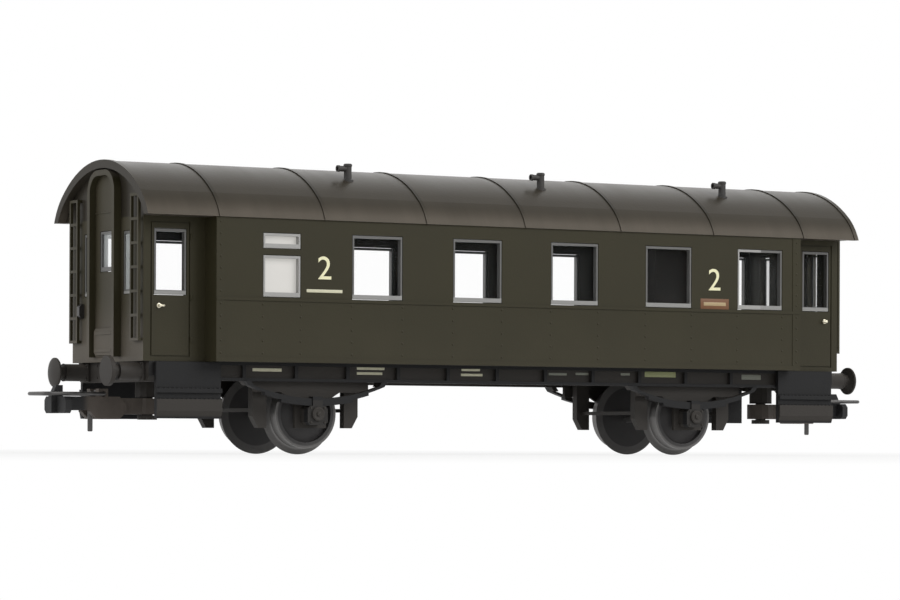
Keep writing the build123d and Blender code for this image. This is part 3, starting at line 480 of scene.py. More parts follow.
def coupler_grey(finish):
    """Dark plastic at the head, with a lighter grey-brown shank."""
    cloud = finish.noise(320, 3)
    shank = finish.blend(cloud, (0.06, 0.05, 0.042), (0.12, 0.102, 0.088))
    head = finish.fade(abs(finish.axis(0)), END_WALL_X + 4.0 * MM, END_WALL_X + 5.5 * MM)
    tone = finish.blend(head, shank, shade(tuple(colours().chassis), 1.3))
    finish.surface(base_color=tone, roughness=0.45 + 0.2 * cloud, specular=0.25)


def bow_steel(finish):
    """Darkened steel wire."""
    finish.clouded(finish.noise(700, 2), (0.05, 0.05, 0.052), (0.12, 0.115, 0.11), 0.3, 0.15, 0.8)


def printed(name, colour):
    """Printing ink, slightly uneven."""
    finish = Finish(name)
    finish.clouded(finish.noise(2400, 2), shade(colour, 0.88), shade(colour, 1.06), 0.42, 0.12)


FINISHES = (
    body_paint, roof_paint, vent_black, chassis_black, ballast_steel, interior_plastic, clear_glazing,
    milky_glazing, frame_grey, handle_brass, axle_steel, wheel_black, coupler_grey, bow_steel,
)


def finish_named(name):
    """A finish that has been made already."""
    return bpy.data.materials[FINISH_PREFIX + name]


# Mesh helpers
def placed(name, data):
    """A new object in the scene."""
    made = bpy.data.objects.new(name, data)
    bpy.context.scene.collection.objects.link(made)
    return made


def piece(name, mesh, slot, ink=None, body=COACH, replaced=()):
    """Put a mesh into the scene, in its slot's finish or in an ink, and tie it to its body."""
    mesh.name = name
    if not mesh.materials:
        mesh.materials.append(finish_named(ink or slot))
    made = placed(name, mesh)
    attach(made, body)
    if replaced:
        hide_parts(*replaced)


def to_mesh(shape, name="part"):
    """Turn a bmesh into a mesh with outward faces, smooth apart from its sharp edges."""
    bmesh.ops.remove_doubles(shape, verts=shape.verts, dist=1e-7)
    bmesh.ops.recalc_face_normals(shape, faces=shape.faces)
    mesh = bpy.data.meshes.new(name)
    shape.to_mesh(mesh)
    shape.free()
    mesh.shade_smooth()
    mesh.set_sharp_from_angle(angle=SHARP_ANGLE)
    return mesh


def add_box(shape, low, high, bevel=0.0):
    """Add a box between two corners, with its edges bevelled where asked."""
    made = bmesh.ops.create_cube(shape, size=1.0)
    low = Vector(low)
    high = Vector(high)
    place = Matrix.Translation((low + high) / 2) @ Matrix.Diagonal((*(high - low), 1.0))
    bmesh.ops.transform(shape, matrix=place, verts=made["verts"])
    if bevel > 0:
        edges = list({edge for vert in made["verts"] for edge in vert.link_edges})
        bmesh.ops.bevel(shape, geom=edges, offset=bevel, segments=2, profile=0.5, affect="EDGES")


def add_lathe(shape, profile, place, segments=32, unit=MM):
    """Turn a profile of (distance along the axis, radius) rows about the local Z axis of a place."""
    rings = []
    for along, radius in profile:
        ring = []
        for index in range(segments if radius > 0 else 1):
            angle = 2 * math.pi * index / segments
            point = Vector((radius * math.cos(angle), radius * math.sin(angle), along))
            ring.append(shape.verts.new(place @ (point * unit)))
        rings.append(ring)
    for first, second in zip(rings, rings[1:]):
        for index in range(segments):
            after = (index + 1) % segments
            corners = [first[index % len(first)], first[after % len(first)]]
            corners += [second[after % len(second)], second[index % len(second)]]
            corners = list(dict.fromkeys(corners))
            if len(corners) > 2:
                shape.faces.new(corners)


def facing(direction, origin):
    """A place whose local Z axis looks along a direction."""
    turn = Vector((0, 0, 1)).rotation_difference(Vector(direction)).to_matrix().to_4x4()
    return Matrix.Translation(Vector(origin)) @ turn


def wire_mesh(points, radius, corner):
    """A closed loop of round wire through some points, with its corners rounded, as a mesh."""
    curve = bpy.data.curves.new("wire", "CURVE")
    curve.dimensions = "3D"
    curve.bevel_depth = radius
    curve.bevel_resolution = 4
    rounded = []
    steps = 6
    count = len(points)
    for index, point in enumerate(points):
        point = Vector(point)
        before = (Vector(points[index - 1]) - point).normalized() * corner
        after = (Vector(points[(index + 1) % count]) - point).normalized() * corner
        for step in range(steps + 1):
            share = step / steps
            rounded.append(point + before * (1 - share) ** 2 + after * share ** 2)
    spline = curve.splines.new("POLY")
    spline.points.add(len(rounded) - 1)
    for target, point in zip(spline.points, rounded):
        target.co = (*point, 1.0)
    spline.use_cyclic_u = True
    mesh = curve_mesh(curve)
    mesh.shade_smooth()
    mesh.set_sharp_from_angle(angle=SHARP_ANGLE)
    return mesh


def evaluated_mesh(holder):
    """The plain mesh of an object with its modifiers."""
    graph = bpy.context.evaluated_depsgraph_get()
    return bpy.data.meshes.new_from_object(holder.evaluated_get(graph))


def curve_mesh(curve):
    """The plain mesh of a curve, which is then deleted."""
    holder = placed("curve", curve)
    mesh = evaluated_mesh(holder)
    bpy.data.objects.remove(holder)
    bpy.data.curves.remove(curve)
    return mesh


def repeat_tree():
    """Geometry nodes that set copies of a shape along rows, each turned to its row's own facing."""
    tree = bpy.data.node_groups.new("Repeat along rows", "GeometryNodeTree")
    inputs = (("Rows", "Geometry"), ("Shape", "Object"), ("Pitch", "Float"), ("Finish", "Material"))
    for label, kind in inputs:
        tree.interface.new_socket(label, in_out="INPUT", socket_type="NodeSocket" + kind)
    tree.interface.new_socket("Pieces", in_out="OUTPUT", socket_type="NodeSocketGeometry")
    made = {}
    for label, kind in (
        ("input", "NodeGroupInput"), ("curve", "GeometryNodeMeshToCurve"),
        ("points", "GeometryNodeResampleCurve"), ("facing", "GeometryNodeInputNamedAttribute"),
        ("tangent", "GeometryNodeInputTangent"), ("upright", "FunctionNodeAlignRotationToVector"),
        ("along", "FunctionNodeAlignRotationToVector"), ("shape", "GeometryNodeObjectInfo"),
        ("copies", "GeometryNodeInstanceOnPoints"), ("realize", "GeometryNodeRealizeInstances"),
        ("paint", "GeometryNodeSetMaterial"), ("output", "NodeGroupOutput"),
    ):
        made[label] = tree.nodes.new(kind)
    made["points"].mode = "LENGTH"
    made["facing"].data_type = "FLOAT_VECTOR"
    made["facing"].inputs["Name"].default_value = "facing"
    made["upright"].axis = "Z"
    made["along"].axis = "X"
    made["along"].pivot_axis = "Z"
    for source, out, target, into in (
        ("input", "Rows", "curve", "Mesh"), ("curve", "Curve", "points", "Curve"),
        ("input", "Pitch", "points", "Length"), ("facing", "Attribute", "upright", "Vector"),
        ("upright", "Rotation", "along", "Rotation"), ("tangent", "Tangent", "along", "Vector"),
        ("input", "Shape", "shape", "Object"), ("points", "Curve", "copies", "Points"),
        ("shape", "Geometry", "copies", "Instance"), ("along", "Rotation", "copies", "Rotation"),
        ("copies", "Instances", "realize", "Geometry"), ("realize", "Geometry", "paint", "Geometry"),
        ("input", "Finish", "paint", "Material"), ("paint", "Geometry", "output", "Pieces"),
    ):
        tree.links.new(made[source].outputs[out], made[target].inputs[into])
    return tree


def repeat_along(rows, shape, pitch, slot):
    """Copies of a shape along rows of (start, end, facing), as one plain mesh."""
    tree = bpy.data.node_groups.get("Repeat along rows") or repeat_tree()
    row_mesh = bpy.data.meshes.new("rows")
    points = [Vector(point) for start, end, _ in rows for point in (start, end)]
    row_mesh.from_pydata(points, [(2 * index, 2 * index + 1) for index in range(len(rows))], [])
    attribute = row_mesh.attributes.new("facing", "FLOAT_VECTOR", "POINT")
    for index, (_, _, direction) in enumerate(rows):
        attribute.data[2 * index].vector = direction
        attribute.data[2 * index + 1].vector = direction
    holder = placed("rows", row_mesh)
    sample = placed("sample", to_mesh(shape))
    modifier = holder.modifiers.new("rows", "NODES")
    modifier.node_group = tree
    values = {"Shape": sample, "Pitch": pitch, "Finish": finish_named(slot)}
    for item in tree.interface.items_tree:
        if item.in_out == "INPUT" and item.name in values:
            modifier[item.identifier] = values[item.name]
    holder.update_tag()
    mesh = evaluated_mesh(holder)
    bpy.data.objects.remove(holder)
    bpy.data.objects.remove(sample)
    if not mesh.polygons:
        raise RuntimeError("the rows came out empty")
    return mesh


def dome(radius, height):
    """A rivet head that looks along Z."""
    shape = bmesh.new()
    profile = [(height * math.sin(step), radius * math.cos(step)) for step in (0, 0.5, 1.0)]
    add_lathe(shape, [(-height, radius), *profile, (height, 0)], Matrix.Identity(4), 8, 1.0)
    return shape


def hexagon_head(radius, height):
    """A bolt head that looks along Z."""
    shape = bmesh.new()
    profile = [(-height, radius), (height * 0.7, radius), (height, radius * 0.75), (height, 0)]
    add_lathe(shape, profile, Matrix.Identity(4), 6, 1.0)
    return shape


def all_round(rows):
    """Rows of one side or end, with the same rows after half a turn."""
    turned = []
    for turn in TURNS:
        for start, end, direction in rows:
            turned.append((turn @ Vector(start), turn @ Vector(end), turn @ Vector(direction)))
    return turned


def join_meshes(*meshes):
    """Put some meshes of the same finish together."""
    shape = bmesh.new()
    for mesh in meshes:
        shape.from_mesh(mesh)
        bpy.data.meshes.remove(mesh)
    joined = bpy.data.meshes.new("joined")
    shape.to_mesh(joined)
    shape.free()
    return joined


class COACH_OT_finishes(bpy.types.Operator):
    """Make the finishes and give every CAD piece its own"""

    bl_idname = "coach.finishes"
    bl_label = "Finishes"

    def execute(self, context):
        for make in FINISHES:
            make(Finish(make.__name__))
        for part in frame["record"]["subparts"]:
            node = frame["nodes"][part["node"]]
            material = finish_named(part["material_slot"])
            if not node.material_slots:
                node.data.materials.append(material)
            for slot in node.material_slots:
                slot.material = material
        return {"FINISHED"}


class COACH_OT_rivets(bpy.types.Operator):
    """Rivet the side panels below the windows and the corner strips"""

    bl_idname = "coach.rivets"
    bl_label = "Side rivets"

    # Millimetres: first rivet above the body's bottom, last below the sills, and the corner strips' rows
    bottom_margin = 1.4
    sill_margin = 1.1
    strip_inset = 0.8
    strip_proud = 0.08
    strip_break = 2.0
    eave_margin = 0.8

    def execute(self, context):
        size = sizes()
        out = (0, -1, 0)
        low_z = BODY_BOTTOM_Z + self.bottom_margin * MM
        belt_z = WINDOW_SILL_Z - self.sill_margin * MM
        centres = [WINDOW_FIRST_X + index * WINDOW_PITCH for index in range(WINDOW_COUNT)]
        openings = [(centre, WINDOW_WIDTH) for centre in centres] + [(LAVATORY_X, LAVATORY_WIDTH)]
        columns = [centre + side * width / 2 for centre, width in openings for side in (-1, 1)]
        rows = [((x, -SIDE_Y, low_z), (x, -SIDE_Y, belt_z), out) for x in columns]
        strip_x = SALOON_END_X - self.strip_inset * MM
        strip_y = SIDE_Y + self.strip_proud * MM
        upper_z = belt_z + self.strip_break * MM
        top_z = EAVE_Z - self.eave_margin * MM
        for x in (-strip_x, strip_x):
            rows.append(((x, -strip_y, low_z), (x, -strip_y, belt_z), out))
            rows.append(((x, -strip_y, upper_z), (x, -strip_y, top_z), out))
        head = dome(size.rivet_radius, size.rivet_height)
        mesh = repeat_along(all_round(rows), head, size.rivet_pitch, "body_paint")
        piece("side_rivets", mesh, "body_paint")
        return {"FINISHED"}


def numeral_mesh(place):
    """A flat numeral 2, stood upright at a place on a side."""
    size = sizes()
    text = bpy.data.curves.new("numeral", "FONT")
    text.body = "2"
    text.extrude = size.print_thickness
    text.resolution_u = 6
    mesh = curve_mesh(text)
    low = Vector([min(vert.co[axis] for vert in mesh.vertices) for axis in range(2)])
    high = Vector([max(vert.co[axis] for vert in mesh.vertices) for axis in range(2)])
    middle = (low + high) / 2
    span = high - low
    fit = Matrix.Diagonal((size.numeral_width / span[0], size.numeral_height / span[1], 1.0, 1.0))
    stand = Matrix.Rotation(math.pi / 2, 4, "X")
    mesh.transform(place @ stand @ fit @ Matrix.Translation((-middle[0], -middle[1], 0)))
    return mesh


class COACH_OT_side_marks(bpy.types.Operator):
    """Print the class numerals and the blank strips on the sides and solebars"""

    bl_idname = "coach.side_marks"
    bl_label = "Numerals and blank strips"

    inks = {
        "pale_ink": (0.62, 0.6, 0.44),
        "rust_ink": (0.15, 0.058, 0.016),
        "tan_ink": (0.4, 0.3, 0.16),
        "lime_ink": (0.30, 0.32, 0.15),
        "grey_ink": (0.2, 0.21, 0.17),
    }
    # Numerals: middle along X and middle height, in millimetres
    numeral_places = ((-37.6, 30.15), (39.05, 30.2))
    plate_y = SIDE_Y + 0.03 * MM
    # Blank strips: name, ink, distance of the face from Y = 0, then in millimetres
    # the middle along X, the middle height, the length and the height
    strips = (
        ("row_left", "pale_ink", SIDE_Y, -37.6, 26.4, 6.6, 0.5),
        ("plate_right", "rust_ink", SIDE_Y, 39.1, 26.0, 5.9, 1.8),
        ("row_right", "tan_ink", plate_y, 39.1, 26.0, 4.6, 0.6),
        ("sole_a", "pale_ink", SOLEBAR_Y, -45.65, 13.65, 5.3, 0.5),
        ("sole_b", "pale_ink", SOLEBAR_Y, -26.4, 14.1, 5.2, 0.42),
        ("sole_c", "pale_ink", SOLEBAR_Y, -26.6, 13.3, 4.8, 0.42),
        ("sole_d", "pale_ink", SOLEBAR_Y, -7.2, 14.15, 3.6, 0.42),
        ("sole_e", "pale_ink", SOLEBAR_Y, -7.0, 13.3, 4.2, 0.42),
        ("sole_f", "grey_ink", SOLEBAR_Y, 10.0, 13.65, 3.6, 0.4),
        ("sole_g", "grey_ink", SOLEBAR_Y, 14.9, 13.75, 2.6, 0.4),
        ("sole_h", "grey_ink", SOLEBAR_Y, 23.7, 13.8, 1.85, 0.4),
        ("sole_i", "lime_ink", SOLEBAR_Y, 30.9, 13.85, 6.4, 0.95),
        ("sole_j", "grey_ink", SOLEBAR_Y, 50.05, 13.6, 4.1, 0.85),
    )

    def execute(self, context):
        for name, colour in self.inks.items():
            printed(name, colour)
        printed("numeral_ink", tuple(colours().numerals))
        thickness = sizes().print_thickness
        for (side, _), turn in zip(SIDES, TURNS):
            for index, (x, z) in enumerate(self.numeral_places):
                place = turn @ Matrix.Translation((x * MM, -SIDE_Y, z * MM))
                mesh = numeral_mesh(place)
                piece(f"numeral_{side}_{index}", mesh, "frame_grey", "numeral_ink")
            for name, ink, face, x, z, length, height in self.strips:
                shape = bmesh.new()
                low = ((x - length / 2) * MM, -face - thickness, (z - height / 2) * MM)
                high = ((x + length / 2) * MM, -face + thickness, (z + height / 2) * MM)
                add_box(shape, low, high, thickness * 0.4)
                mesh = to_mesh(shape)
                mesh.transform(turn)
                piece(f"strip_{name}_{side}", mesh, "frame_grey", ink)
        return {"FINISHED"}


class COACH_OT_roof_vents(bpy.types.Operator):
    """Turn the roof ventilators: a stem with a collar, a cap and a side pipe"""

    bl_idname = "coach.roof_vents"
    bl_label = "Roof ventilators"

    count = 3
    # Millimetres
    stem_radius = 0.64
    stem_sunk = 0.4
    pipe_radius = 0.48
    pipe_length = 2.0
    pipe_drop = 0.85

    def execute(self, context):
        low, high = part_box("roof_vents")
        shape = bmesh.new()
        top = high[2]
        base = low[2] - self.stem_sunk * MM
        y = (low[1] + high[1]) / 2
        stem = self.stem_radius
        pipe = self.pipe_radius
        length = self.pipe_length
        rise = (top - base) / MM
        first_x = low[0] + length * MM
        pitch = (high[0] - stem * MM - first_x) / (self.count - 1)
        for index in range(self.count):
            x = first_x + index * pitch
            add_lathe(shape, [
                (0, stem * 1.5), (0.62, stem * 1.45), (0.75, stem), (rise - 0.5, stem),
                (rise - 0.42, stem * 1.12), (rise - 0.14, stem * 1.12), (rise, stem * 0.85), (rise, 0),
            ], facing((0, 0, 1), (x, y, base)), 24)
            add_lathe(shape, [
                (0, pipe), (length - 0.45, pipe), (length - 0.4, pipe * 1.15), (length, pipe * 1.15),
                (length, pipe * 0.72), (length - 0.7, pipe * 0.7), (length - 0.7, 0),
            ], facing((-1, 0, 0), (x, y, top - self.pipe_drop * MM)), 20)
        piece("roof_ventilators", to_mesh(shape), "vent_black", replaced=("roof_vents",))
        return {"FINISHED"}


class COACH_OT_door_fittings(bpy.types.Operator):
    """Fit the levers and the hinges of the four vestibule doors"""

    bl_idname = "coach.door_fittings"
    bl_label = "Door levers and hinges"

    # Millimetres
    lever_x = 65.45
    lever_z = 23.6
    boss_sunk = 0.05
    arm_stand_off = 0.55
    arm_back = 0.2
    hinge_x = 59.75
    hinge_feet = (17.7, 24.5, 34.1)
    boss_profile = ((0, 0.42), (0.14, 0.4), (0.2, 0.26), (0.7, 0.25), (0.78, 0.15), (0.78, 0))
    arm_profile = ((0, 0), (0, 0.17), (0.1, 0.22), (0.9, 0.17), (1.0, 0.1), (1.0, 0))
    hinge_profile = ((0, 0), (0, 0.16), (0.05, 0.2), (0.95, 0.2), (1.0, 0.16), (1.0, 0))

    def execute(self, context):
        levers = bmesh.new()
        hinges = bmesh.new()
        for _, end, _, side in CORNERS:
            x = end * self.lever_x * MM
            y = side * VESTIBULE_Y
            z = self.lever_z * MM
            boss = facing((0, side, 0), (x, y - side * self.boss_sunk * MM, z))
            add_lathe(levers, self.boss_profile, boss, 16)
            arm_x = x + end * self.arm_back * MM
            arm = facing((-end, 0, 0), (arm_x, y + side * self.arm_stand_off * MM, z))
            add_lathe(levers, self.arm_profile, arm, 12)
            for foot in self.hinge_feet:
                pin = facing((0, 0, 1), (end * self.hinge_x * MM, y, foot * MM))
                add_lathe(hinges, self.hinge_profile, pin, 12)
        piece("door_levers", to_mesh(levers), "handle_brass", replaced=("door_handles",))
        piece("door_hinges", to_mesh(hinges), "body_paint")
        return {"FINISHED"}


class COACH_OT_axle_boxes(bpy.types.Operator):
    """Bolt the axle box covers"""

    bl_idname = "coach.axle_boxes"
    bl_label = "Axle box covers"

    # Millimetres
    cover_sunk = 0.1
    cover_profile = (
        (0, 1.02), (0.1, 1.02), (0.16, 0.92), (0.12, 0.8),
        (0.12, 0.42), (0.3, 0.36), (0.36, 0.2), (0.38, 0),
    )
    bolt_sunk = 0.35
    bolt_lifts = (-1.35, 0.95)
    bolt_reach = 1.25
    bolt_height = 0.14

    def execute(self, context):
        face_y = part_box("axle_guard_rear_right")[1][1]
        cover_y = face_y - self.cover_sunk * MM
        bolt_y = face_y - self.bolt_sunk * MM
        reach = self.bolt_reach * MM
        shape = bmesh.new()
        rows = []
        for _, end, _, side in CORNERS:
            x = end * AXLE_X
            place = facing((0, side, 0), (x, side * cover_y, AXLE_Z))
            add_lathe(shape, self.cover_profile, place)
            for lift in self.bolt_lifts:
                z = AXLE_Z + lift * MM
                rows.append(((x - reach, side * bolt_y, z), (x + reach, side * bolt_y, z), (0, side, 0)))
        head = hexagon_head(sizes().bolt_radius, self.bolt_height * MM)
        bolts = repeat_along(rows, head, 2 * reach, "chassis_black")
        piece("axle_box_covers", join_meshes(to_mesh(shape), bolts), "chassis_black")
        return {"FINISHED"}


class COACH_OT_buffers(bpy.types.Operator):
    """Turn the four buffers with their sleeves, mushroom heads and bolted bases"""

    bl_idname = "coach.buffers"
    bl_label = "Buffers"

    # Millimetres
    head_radius = 2.4
    head_thickness = 0.75
    dome_rise = 0.35
    dome_steps = 4
    base_half = 1.5
    base_thickness = 0.5
    bolt_reach = 1.15
    bolt_height = 0.16

    def profile(self, length, dome_rise):
        """Sleeve, plunger and head, from the base to the face."""
        radius = self.head_radius
        rim = length - dome_rise
        back = length - self.head_thickness
        face = []
        for step in range(self.dome_steps + 1):
            share = step / self.dome_steps
            rise = dome_rise * math.sin(share * math.pi / 2)
            face.append((rim + rise, (radius - 0.06) * (1 - share)))
        return [
            (0.3, 0), (0.3, 1.48), (0.75, 1.48), (0.85, 1.4), (4.0, 1.4), (4.06, 1.46), (4.2, 1.46),
            (4.22, 1.05), (back - 0.12, 1.05), (back, 1.25), (back + 0.02, radius - 0.08),
            (back + 0.1, radius), (rim - 0.06, radius), *face,
        ]

    def execute(self, context):
        bolt = sizes().bolt_radius
        half = self.base_half * MM
        reach = self.bolt_reach * MM
        for end_name, end, side_name, side in CORNERS:
            name = f"buffer_{end_name}_{side_name}"
            low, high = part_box(name)
            length = (high[0] - low[0]) / MM
            origin = Vector((end * HEADSTOCK_X, (low[1] + high[1]) / 2, (low[2] + high[2]) / 2))
            shape = bmesh.new()
            dome_rise = 0.0 if end == side else self.dome_rise
            add_lathe(shape, self.profile(length, dome_rise), facing((end, 0, 0), origin), 40)
            corner = Vector((0, half, half))
            outward = Vector((end * self.base_thickness * MM, 0, 0))
            add_box(shape, origin - corner, origin + corner + outward, 0.1 * MM)
            rows = []
            across = Vector((0, reach, 0))
            for lift in (-reach, reach):
                middle = origin + outward + Vector((0, 0, lift))
                rows.append((middle - across, middle + across, (end, 0, 0)))
            head = hexagon_head(bolt, self.bolt_height * MM)
            bolts = repeat_along(rows, head, 2 * reach, "chassis_black")
            whole = join_meshes(to_mesh(shape), bolts)
            piece("turned_" + name, whole, "chassis_black", replaced=(name,))
        return {"FINISHED"}


class COACH_OT_bows(bpy.types.Operator):
    """Bend the coupler bows from round wire, with their hubs and trip pins"""

    bl_idname = "coach.bows"
    bl_label = "Coupler bows"

    # Millimetres
    pivot_x = 69.9
    half_width = 3.4
    corner_radius = 1.3
    hub_half = 0.7
    hub_profile = ((0, 0), (0, 0.62), (0.08, 0.7), (1.32, 0.7), (1.4, 0.62), (1.4, 0))
    pin_reach = 1.3
    arm_half = (0.1, 0.4, 0.42)

    def execute(self, context):
        radius = sizes().wire_radius
        for end_name, end in ENDS:
            node = f"coupler_bow_{end_name}"
            low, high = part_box(node)
            joint = next(row for row in frame["joints"] if row["name"] == f"bow_{end_name}_lift")
            z = joint["pos_m"][2]
            tip = end * (max(abs(low[0]), abs(high[0])) - radius)
            pivot = end * self.pivot_x * MM
            half = self.half_width * MM
            loop = [(pivot, -half, z), (tip, -half, z), (tip, half, z), (pivot, half, z)]
            wire = wire_mesh(loop, radius, self.corner_radius * MM)
            shape = bmesh.new()
            add_lathe(shape, self.hub_profile, facing((0, 1, 0), (pivot, -self.hub_half * MM, z)), 20)
            pin_x = pivot + end * self.pin_reach * MM
            arm = Vector(self.arm_half) * MM
            arm_ends = (Vector((min(pivot, pin_x), 0, z)), Vector((max(pivot, pin_x), 0, z)))
            add_box(shape, arm_ends[0] - arm, arm_ends[1] + arm, 0.08 * MM)
            pin_length = (z - low[2]) / MM + 0.3
            add_lathe(shape, [
                (0, 0), (0, 0.3), (0.15, 0.42), (pin_length, 0.42), (pin_length, 0),
            ], facing((0, 0, 1), (pin_x, 0, low[2])), 16)
            whole = join_meshes(wire, to_mesh(shape))
            piece("wire_" + node, whole, "bow_steel", body=f"bow_{end_name}", replaced=(node,))
        return {"FINISHED"}


class COACH_OT_steps(bpy.types.Operator):
    """Rib the treads of the four door steps"""

    bl_idname = "coach.steps"
    bl_label = "Step treads"

    # Millimetres
    rib_pitch = 0.8
    rib_low = (-0.12, -0.25, -0.1)
    rib_high = (0.12, 0.25, 0.09)
    rib_set_back = 0.28
    end_margin = 0.5

    def execute(self, context):
        rows = []
        margin = self.end_margin * MM
        for end_name, _, side_name, side in CORNERS:
            low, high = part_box(f"steps_{end_name}_{side_name}")
            outer_y = high[1] if side > 0 else -low[1]
            y = side * (outer_y - self.rib_set_back * MM)
            for z in (LOWER_TREAD_Z, UPPER_TREAD_Z):
                rows.append(((low[0] + margin, y, z), (high[0] - margin, y, z), (0, 0, 1)))
        shape = bmesh.new()
        add_box(shape, Vector(self.rib_low) * MM, Vector(self.rib_high) * MM, 0.03 * MM)
        mesh = repeat_along(rows, shape, self.rib_pitch * MM, "chassis_black")
        piece("step_treads", mesh, "chassis_black")
        return {"FINISHED"}


class COACH_OT_end_fittings(bpy.types.Operator):
    """Bolt the headstocks and fit the gangway doors with a drip line"""

    bl_idname = "coach.end_fittings"
    bl_label = "End fittings"

    # Millimetres
    bolt_heights = (12.3, 14.2)
    bolt_reach = 6.0
    bolt_pitch = 2.4
    bolt_height = 0.12
    plate_proud = 0.2
    line_rise = 1.0
    line_half = (0.12, 4.0, 0.12)

    def execute(self, context):
        rows = []
        trim = bmesh.new()
        reach = self.bolt_reach * MM
        line = Vector(self.line_half) * MM
        for _, end in ENDS:
            x = end * HEADSTOCK_X
            for height in self.bolt_heights:
                z = height * MM
                rows.append(((x, -reach, z), (x, reach, z), (end, 0, 0)))
            plate_x = end * (END_WALL_X + self.plate_proud * MM)
            middle = Vector((plate_x, 0, EAVE_Z + self.line_rise * MM))
            add_box(trim, middle - line, middle + line, 0.04 * MM)
        head = hexagon_head(sizes().bolt_radius, self.bolt_height * MM)
        bolts = repeat_along(rows, head, self.bolt_pitch * MM, "chassis_black")
        piece("headstock_bolts", bolts, "chassis_black")
        piece("gangway_trim", to_mesh(trim), "body_paint")
        return {"FINISHED"}


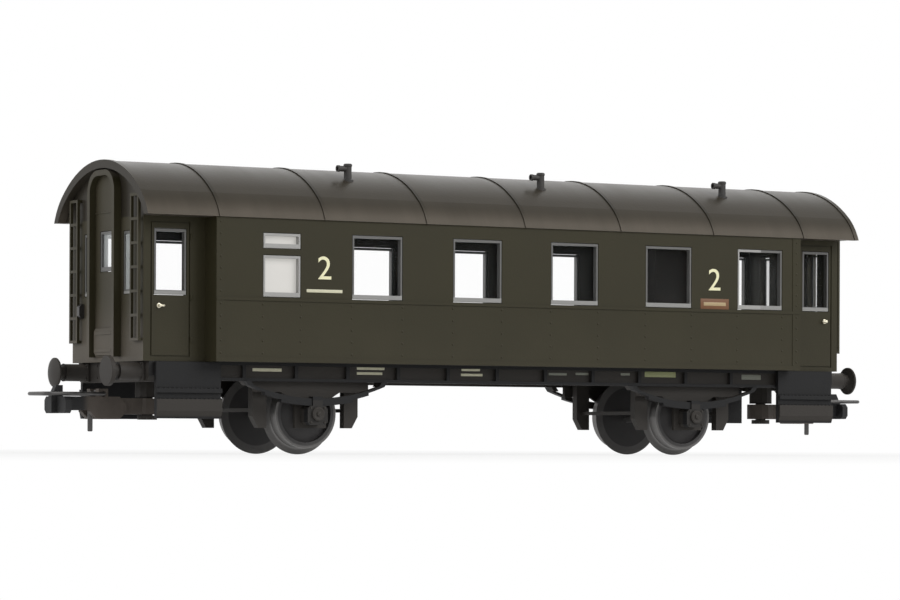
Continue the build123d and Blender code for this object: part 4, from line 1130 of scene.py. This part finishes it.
class COACH_OT_stage(bpy.types.Operator):
    """Set the floor, the lamps, the white surround and the camera"""

    bl_idname = "coach.stage"
    bl_label = "Stage"

    # Metres: half the floor's width, and where it starts and ends fading to plain white
    floor_half = 0.5
    fade_start = 0.1
    fade_end = 0.26

    def execute(self, context):
        stage = context.scene.coach_stage
        self.make_floor(stage)
        self.make_lamps(stage)
        self.make_world(context.scene, stage)
        self.make_camera(context.scene, stage)
        context.scene.view_settings.view_transform = "Standard"
        return {"FINISHED"}

    def make_floor(self, stage):
        shape = bmesh.new()
        bmesh.ops.create_grid(shape, x_segments=8, y_segments=8, size=self.floor_half)
        mesh = to_mesh(shape, "floor")
        floor = placed("floor", mesh)
        card = Finish("floor_card")
        colour = tuple(stage.floor)
        grain = card.noise(700, 2)
        tone = card.blend(grain, shade(colour, 0.985), shade(colour, 1.015))
        mesh.materials.append(card.surface(base_color=tone, roughness=0.9))
        seen = card.clear_sight()
        length = {"operation": "LENGTH"}
        away = card.node("ShaderNodeVectorMath", length, {0: card.place}, output="Value")
        glow = stage.glow + (1.0 - stage.glow) * card.fade(away, self.fade_start, self.fade_end)
        matt = Value(card, card.shader.outputs["BSDF"])
        white = card.node("ShaderNodeEmission", values={"Color": (1, 1, 1, 1), "Strength": 1.0})
        mixed = card.node("ShaderNodeMixShader", values={0: seen * glow, 1: matt, 2: white})
        card.feed(card.output, {"Surface": mixed})

    def make_lamps(self, stage):
        # Lamps: name, power, size, place and the point that the lamp looks at
        lamps = (
            ("key", stage.key_power, 0.5, (0.36, -0.6, 0.47), (0.0, 0.0, 0.02)),
            ("fill", stage.fill_power, 0.4, (-0.75, 0.27, 0.3), (-0.06, 0.0, 0.025)),
            ("back", stage.back_power, 0.6, (0.42, 0.7, 0.6), (0.0, 0.0, 0.04)),
        )
        for name, power, size, place, target in lamps:
            light = bpy.data.lights.new(name, "AREA")
            light.energy = power
            light.size = size
            lamp = placed(name, light)
            lamp.location = place
            direction = Vector(target) - Vector(place)
            lamp.rotation_euler = direction.to_track_quat("-Z", "Y").to_euler()

    def make_world(self, scene, stage):
        world = bpy.data.worlds.new("white_surround")
        scene.world = world
        room = Nodes(world)
        output = room.tree.nodes.new("ShaderNodeOutputWorld")
        seen = room.clear_sight()
        direction = room.node("ShaderNodeTexCoord", output="Generated")
        height = room.node("ShaderNodeSeparateXYZ", values={0: direction}, output=2)
        even = 1.0 - (1.0 - stage.ceiling) * room.fade(height, 0.3, 0.9)
        strength = seen + (1.0 - seen) * even * stage.sky
        light = room.node("ShaderNodeBackground", values={"Color": (1, 1, 1, 1), "Strength": strength})
        room.feed(output, {"Surface": light})

    def make_camera(self, scene, stage):
        data = bpy.data.cameras.new("camera")
        data.sensor_width = 36.0
        data.lens = stage.lens
        data.shift_x = stage.side_shift
        data.shift_y = stage.shift
        data.clip_start = 0.01
        data.clip_end = 50.0
        camera = placed("camera", data)
        camera.location = stage.camera
        turn = Matrix.Rotation(-stage.heading, 4, "Z") @ Matrix.Rotation(math.pi / 2, 4, "X")
        camera.rotation_euler = (turn @ Matrix.Rotation(stage.roll, 4, "Z")).to_euler()
        scene.camera = camera


class COACH_PT_panel(bpy.types.Panel):
    """The coach's steps in the sidebar"""

    bl_label = "Model railway coach"
    bl_idname = "COACH_PT_panel"
    bl_space_type = "VIEW_3D"
    bl_region_type = "UI"
    bl_category = "Coach"

    def draw(self, context):
        layout = self.layout
        for operator in OPERATORS:
            layout.operator(operator.bl_idname)
        for group, kind in GROUPS:
            column = layout.column()
            for name in kind.__annotations__:
                column.prop(getattr(context.scene, group), name)


GROUPS = (
    ("coach_finishes", CoachFinishes),
    ("coach_sizes", CoachSizes),
    ("coach_stage", CoachStage),
)
OPERATORS = (
    COACH_OT_finishes, COACH_OT_rivets, COACH_OT_side_marks, COACH_OT_roof_vents,
    COACH_OT_door_fittings, COACH_OT_axle_boxes, COACH_OT_buffers, COACH_OT_bows, COACH_OT_steps,
    COACH_OT_end_fittings, COACH_OT_stage,
)


def register():
    for name, group in GROUPS:
        bpy.utils.register_class(group)
        setattr(bpy.types.Scene, name, bpy.props.PointerProperty(type=group))
    for operator in OPERATORS:
        bpy.utils.register_class(operator)
    bpy.utils.register_class(COACH_PT_panel)


def unregister():
    bpy.utils.unregister_class(COACH_PT_panel)
    for operator in reversed(OPERATORS):
        bpy.utils.unregister_class(operator)
    for name, group in reversed(GROUPS):
        delattr(bpy.types.Scene, name)
        bpy.utils.unregister_class(group)


def main():
    register()
    bpy.ops.coach.finishes()
    bpy.ops.coach.rivets()
    bpy.ops.coach.side_marks()
    bpy.ops.coach.roof_vents()
    bpy.ops.coach.door_fittings()
    bpy.ops.coach.axle_boxes()
    bpy.ops.coach.buffers()
    bpy.ops.coach.bows()
    bpy.ops.coach.steps()
    bpy.ops.coach.end_fittings()
    bpy.ops.coach.stage()
    bpy.context.view_layer.update()


if __name__ == "__main__":
    main()
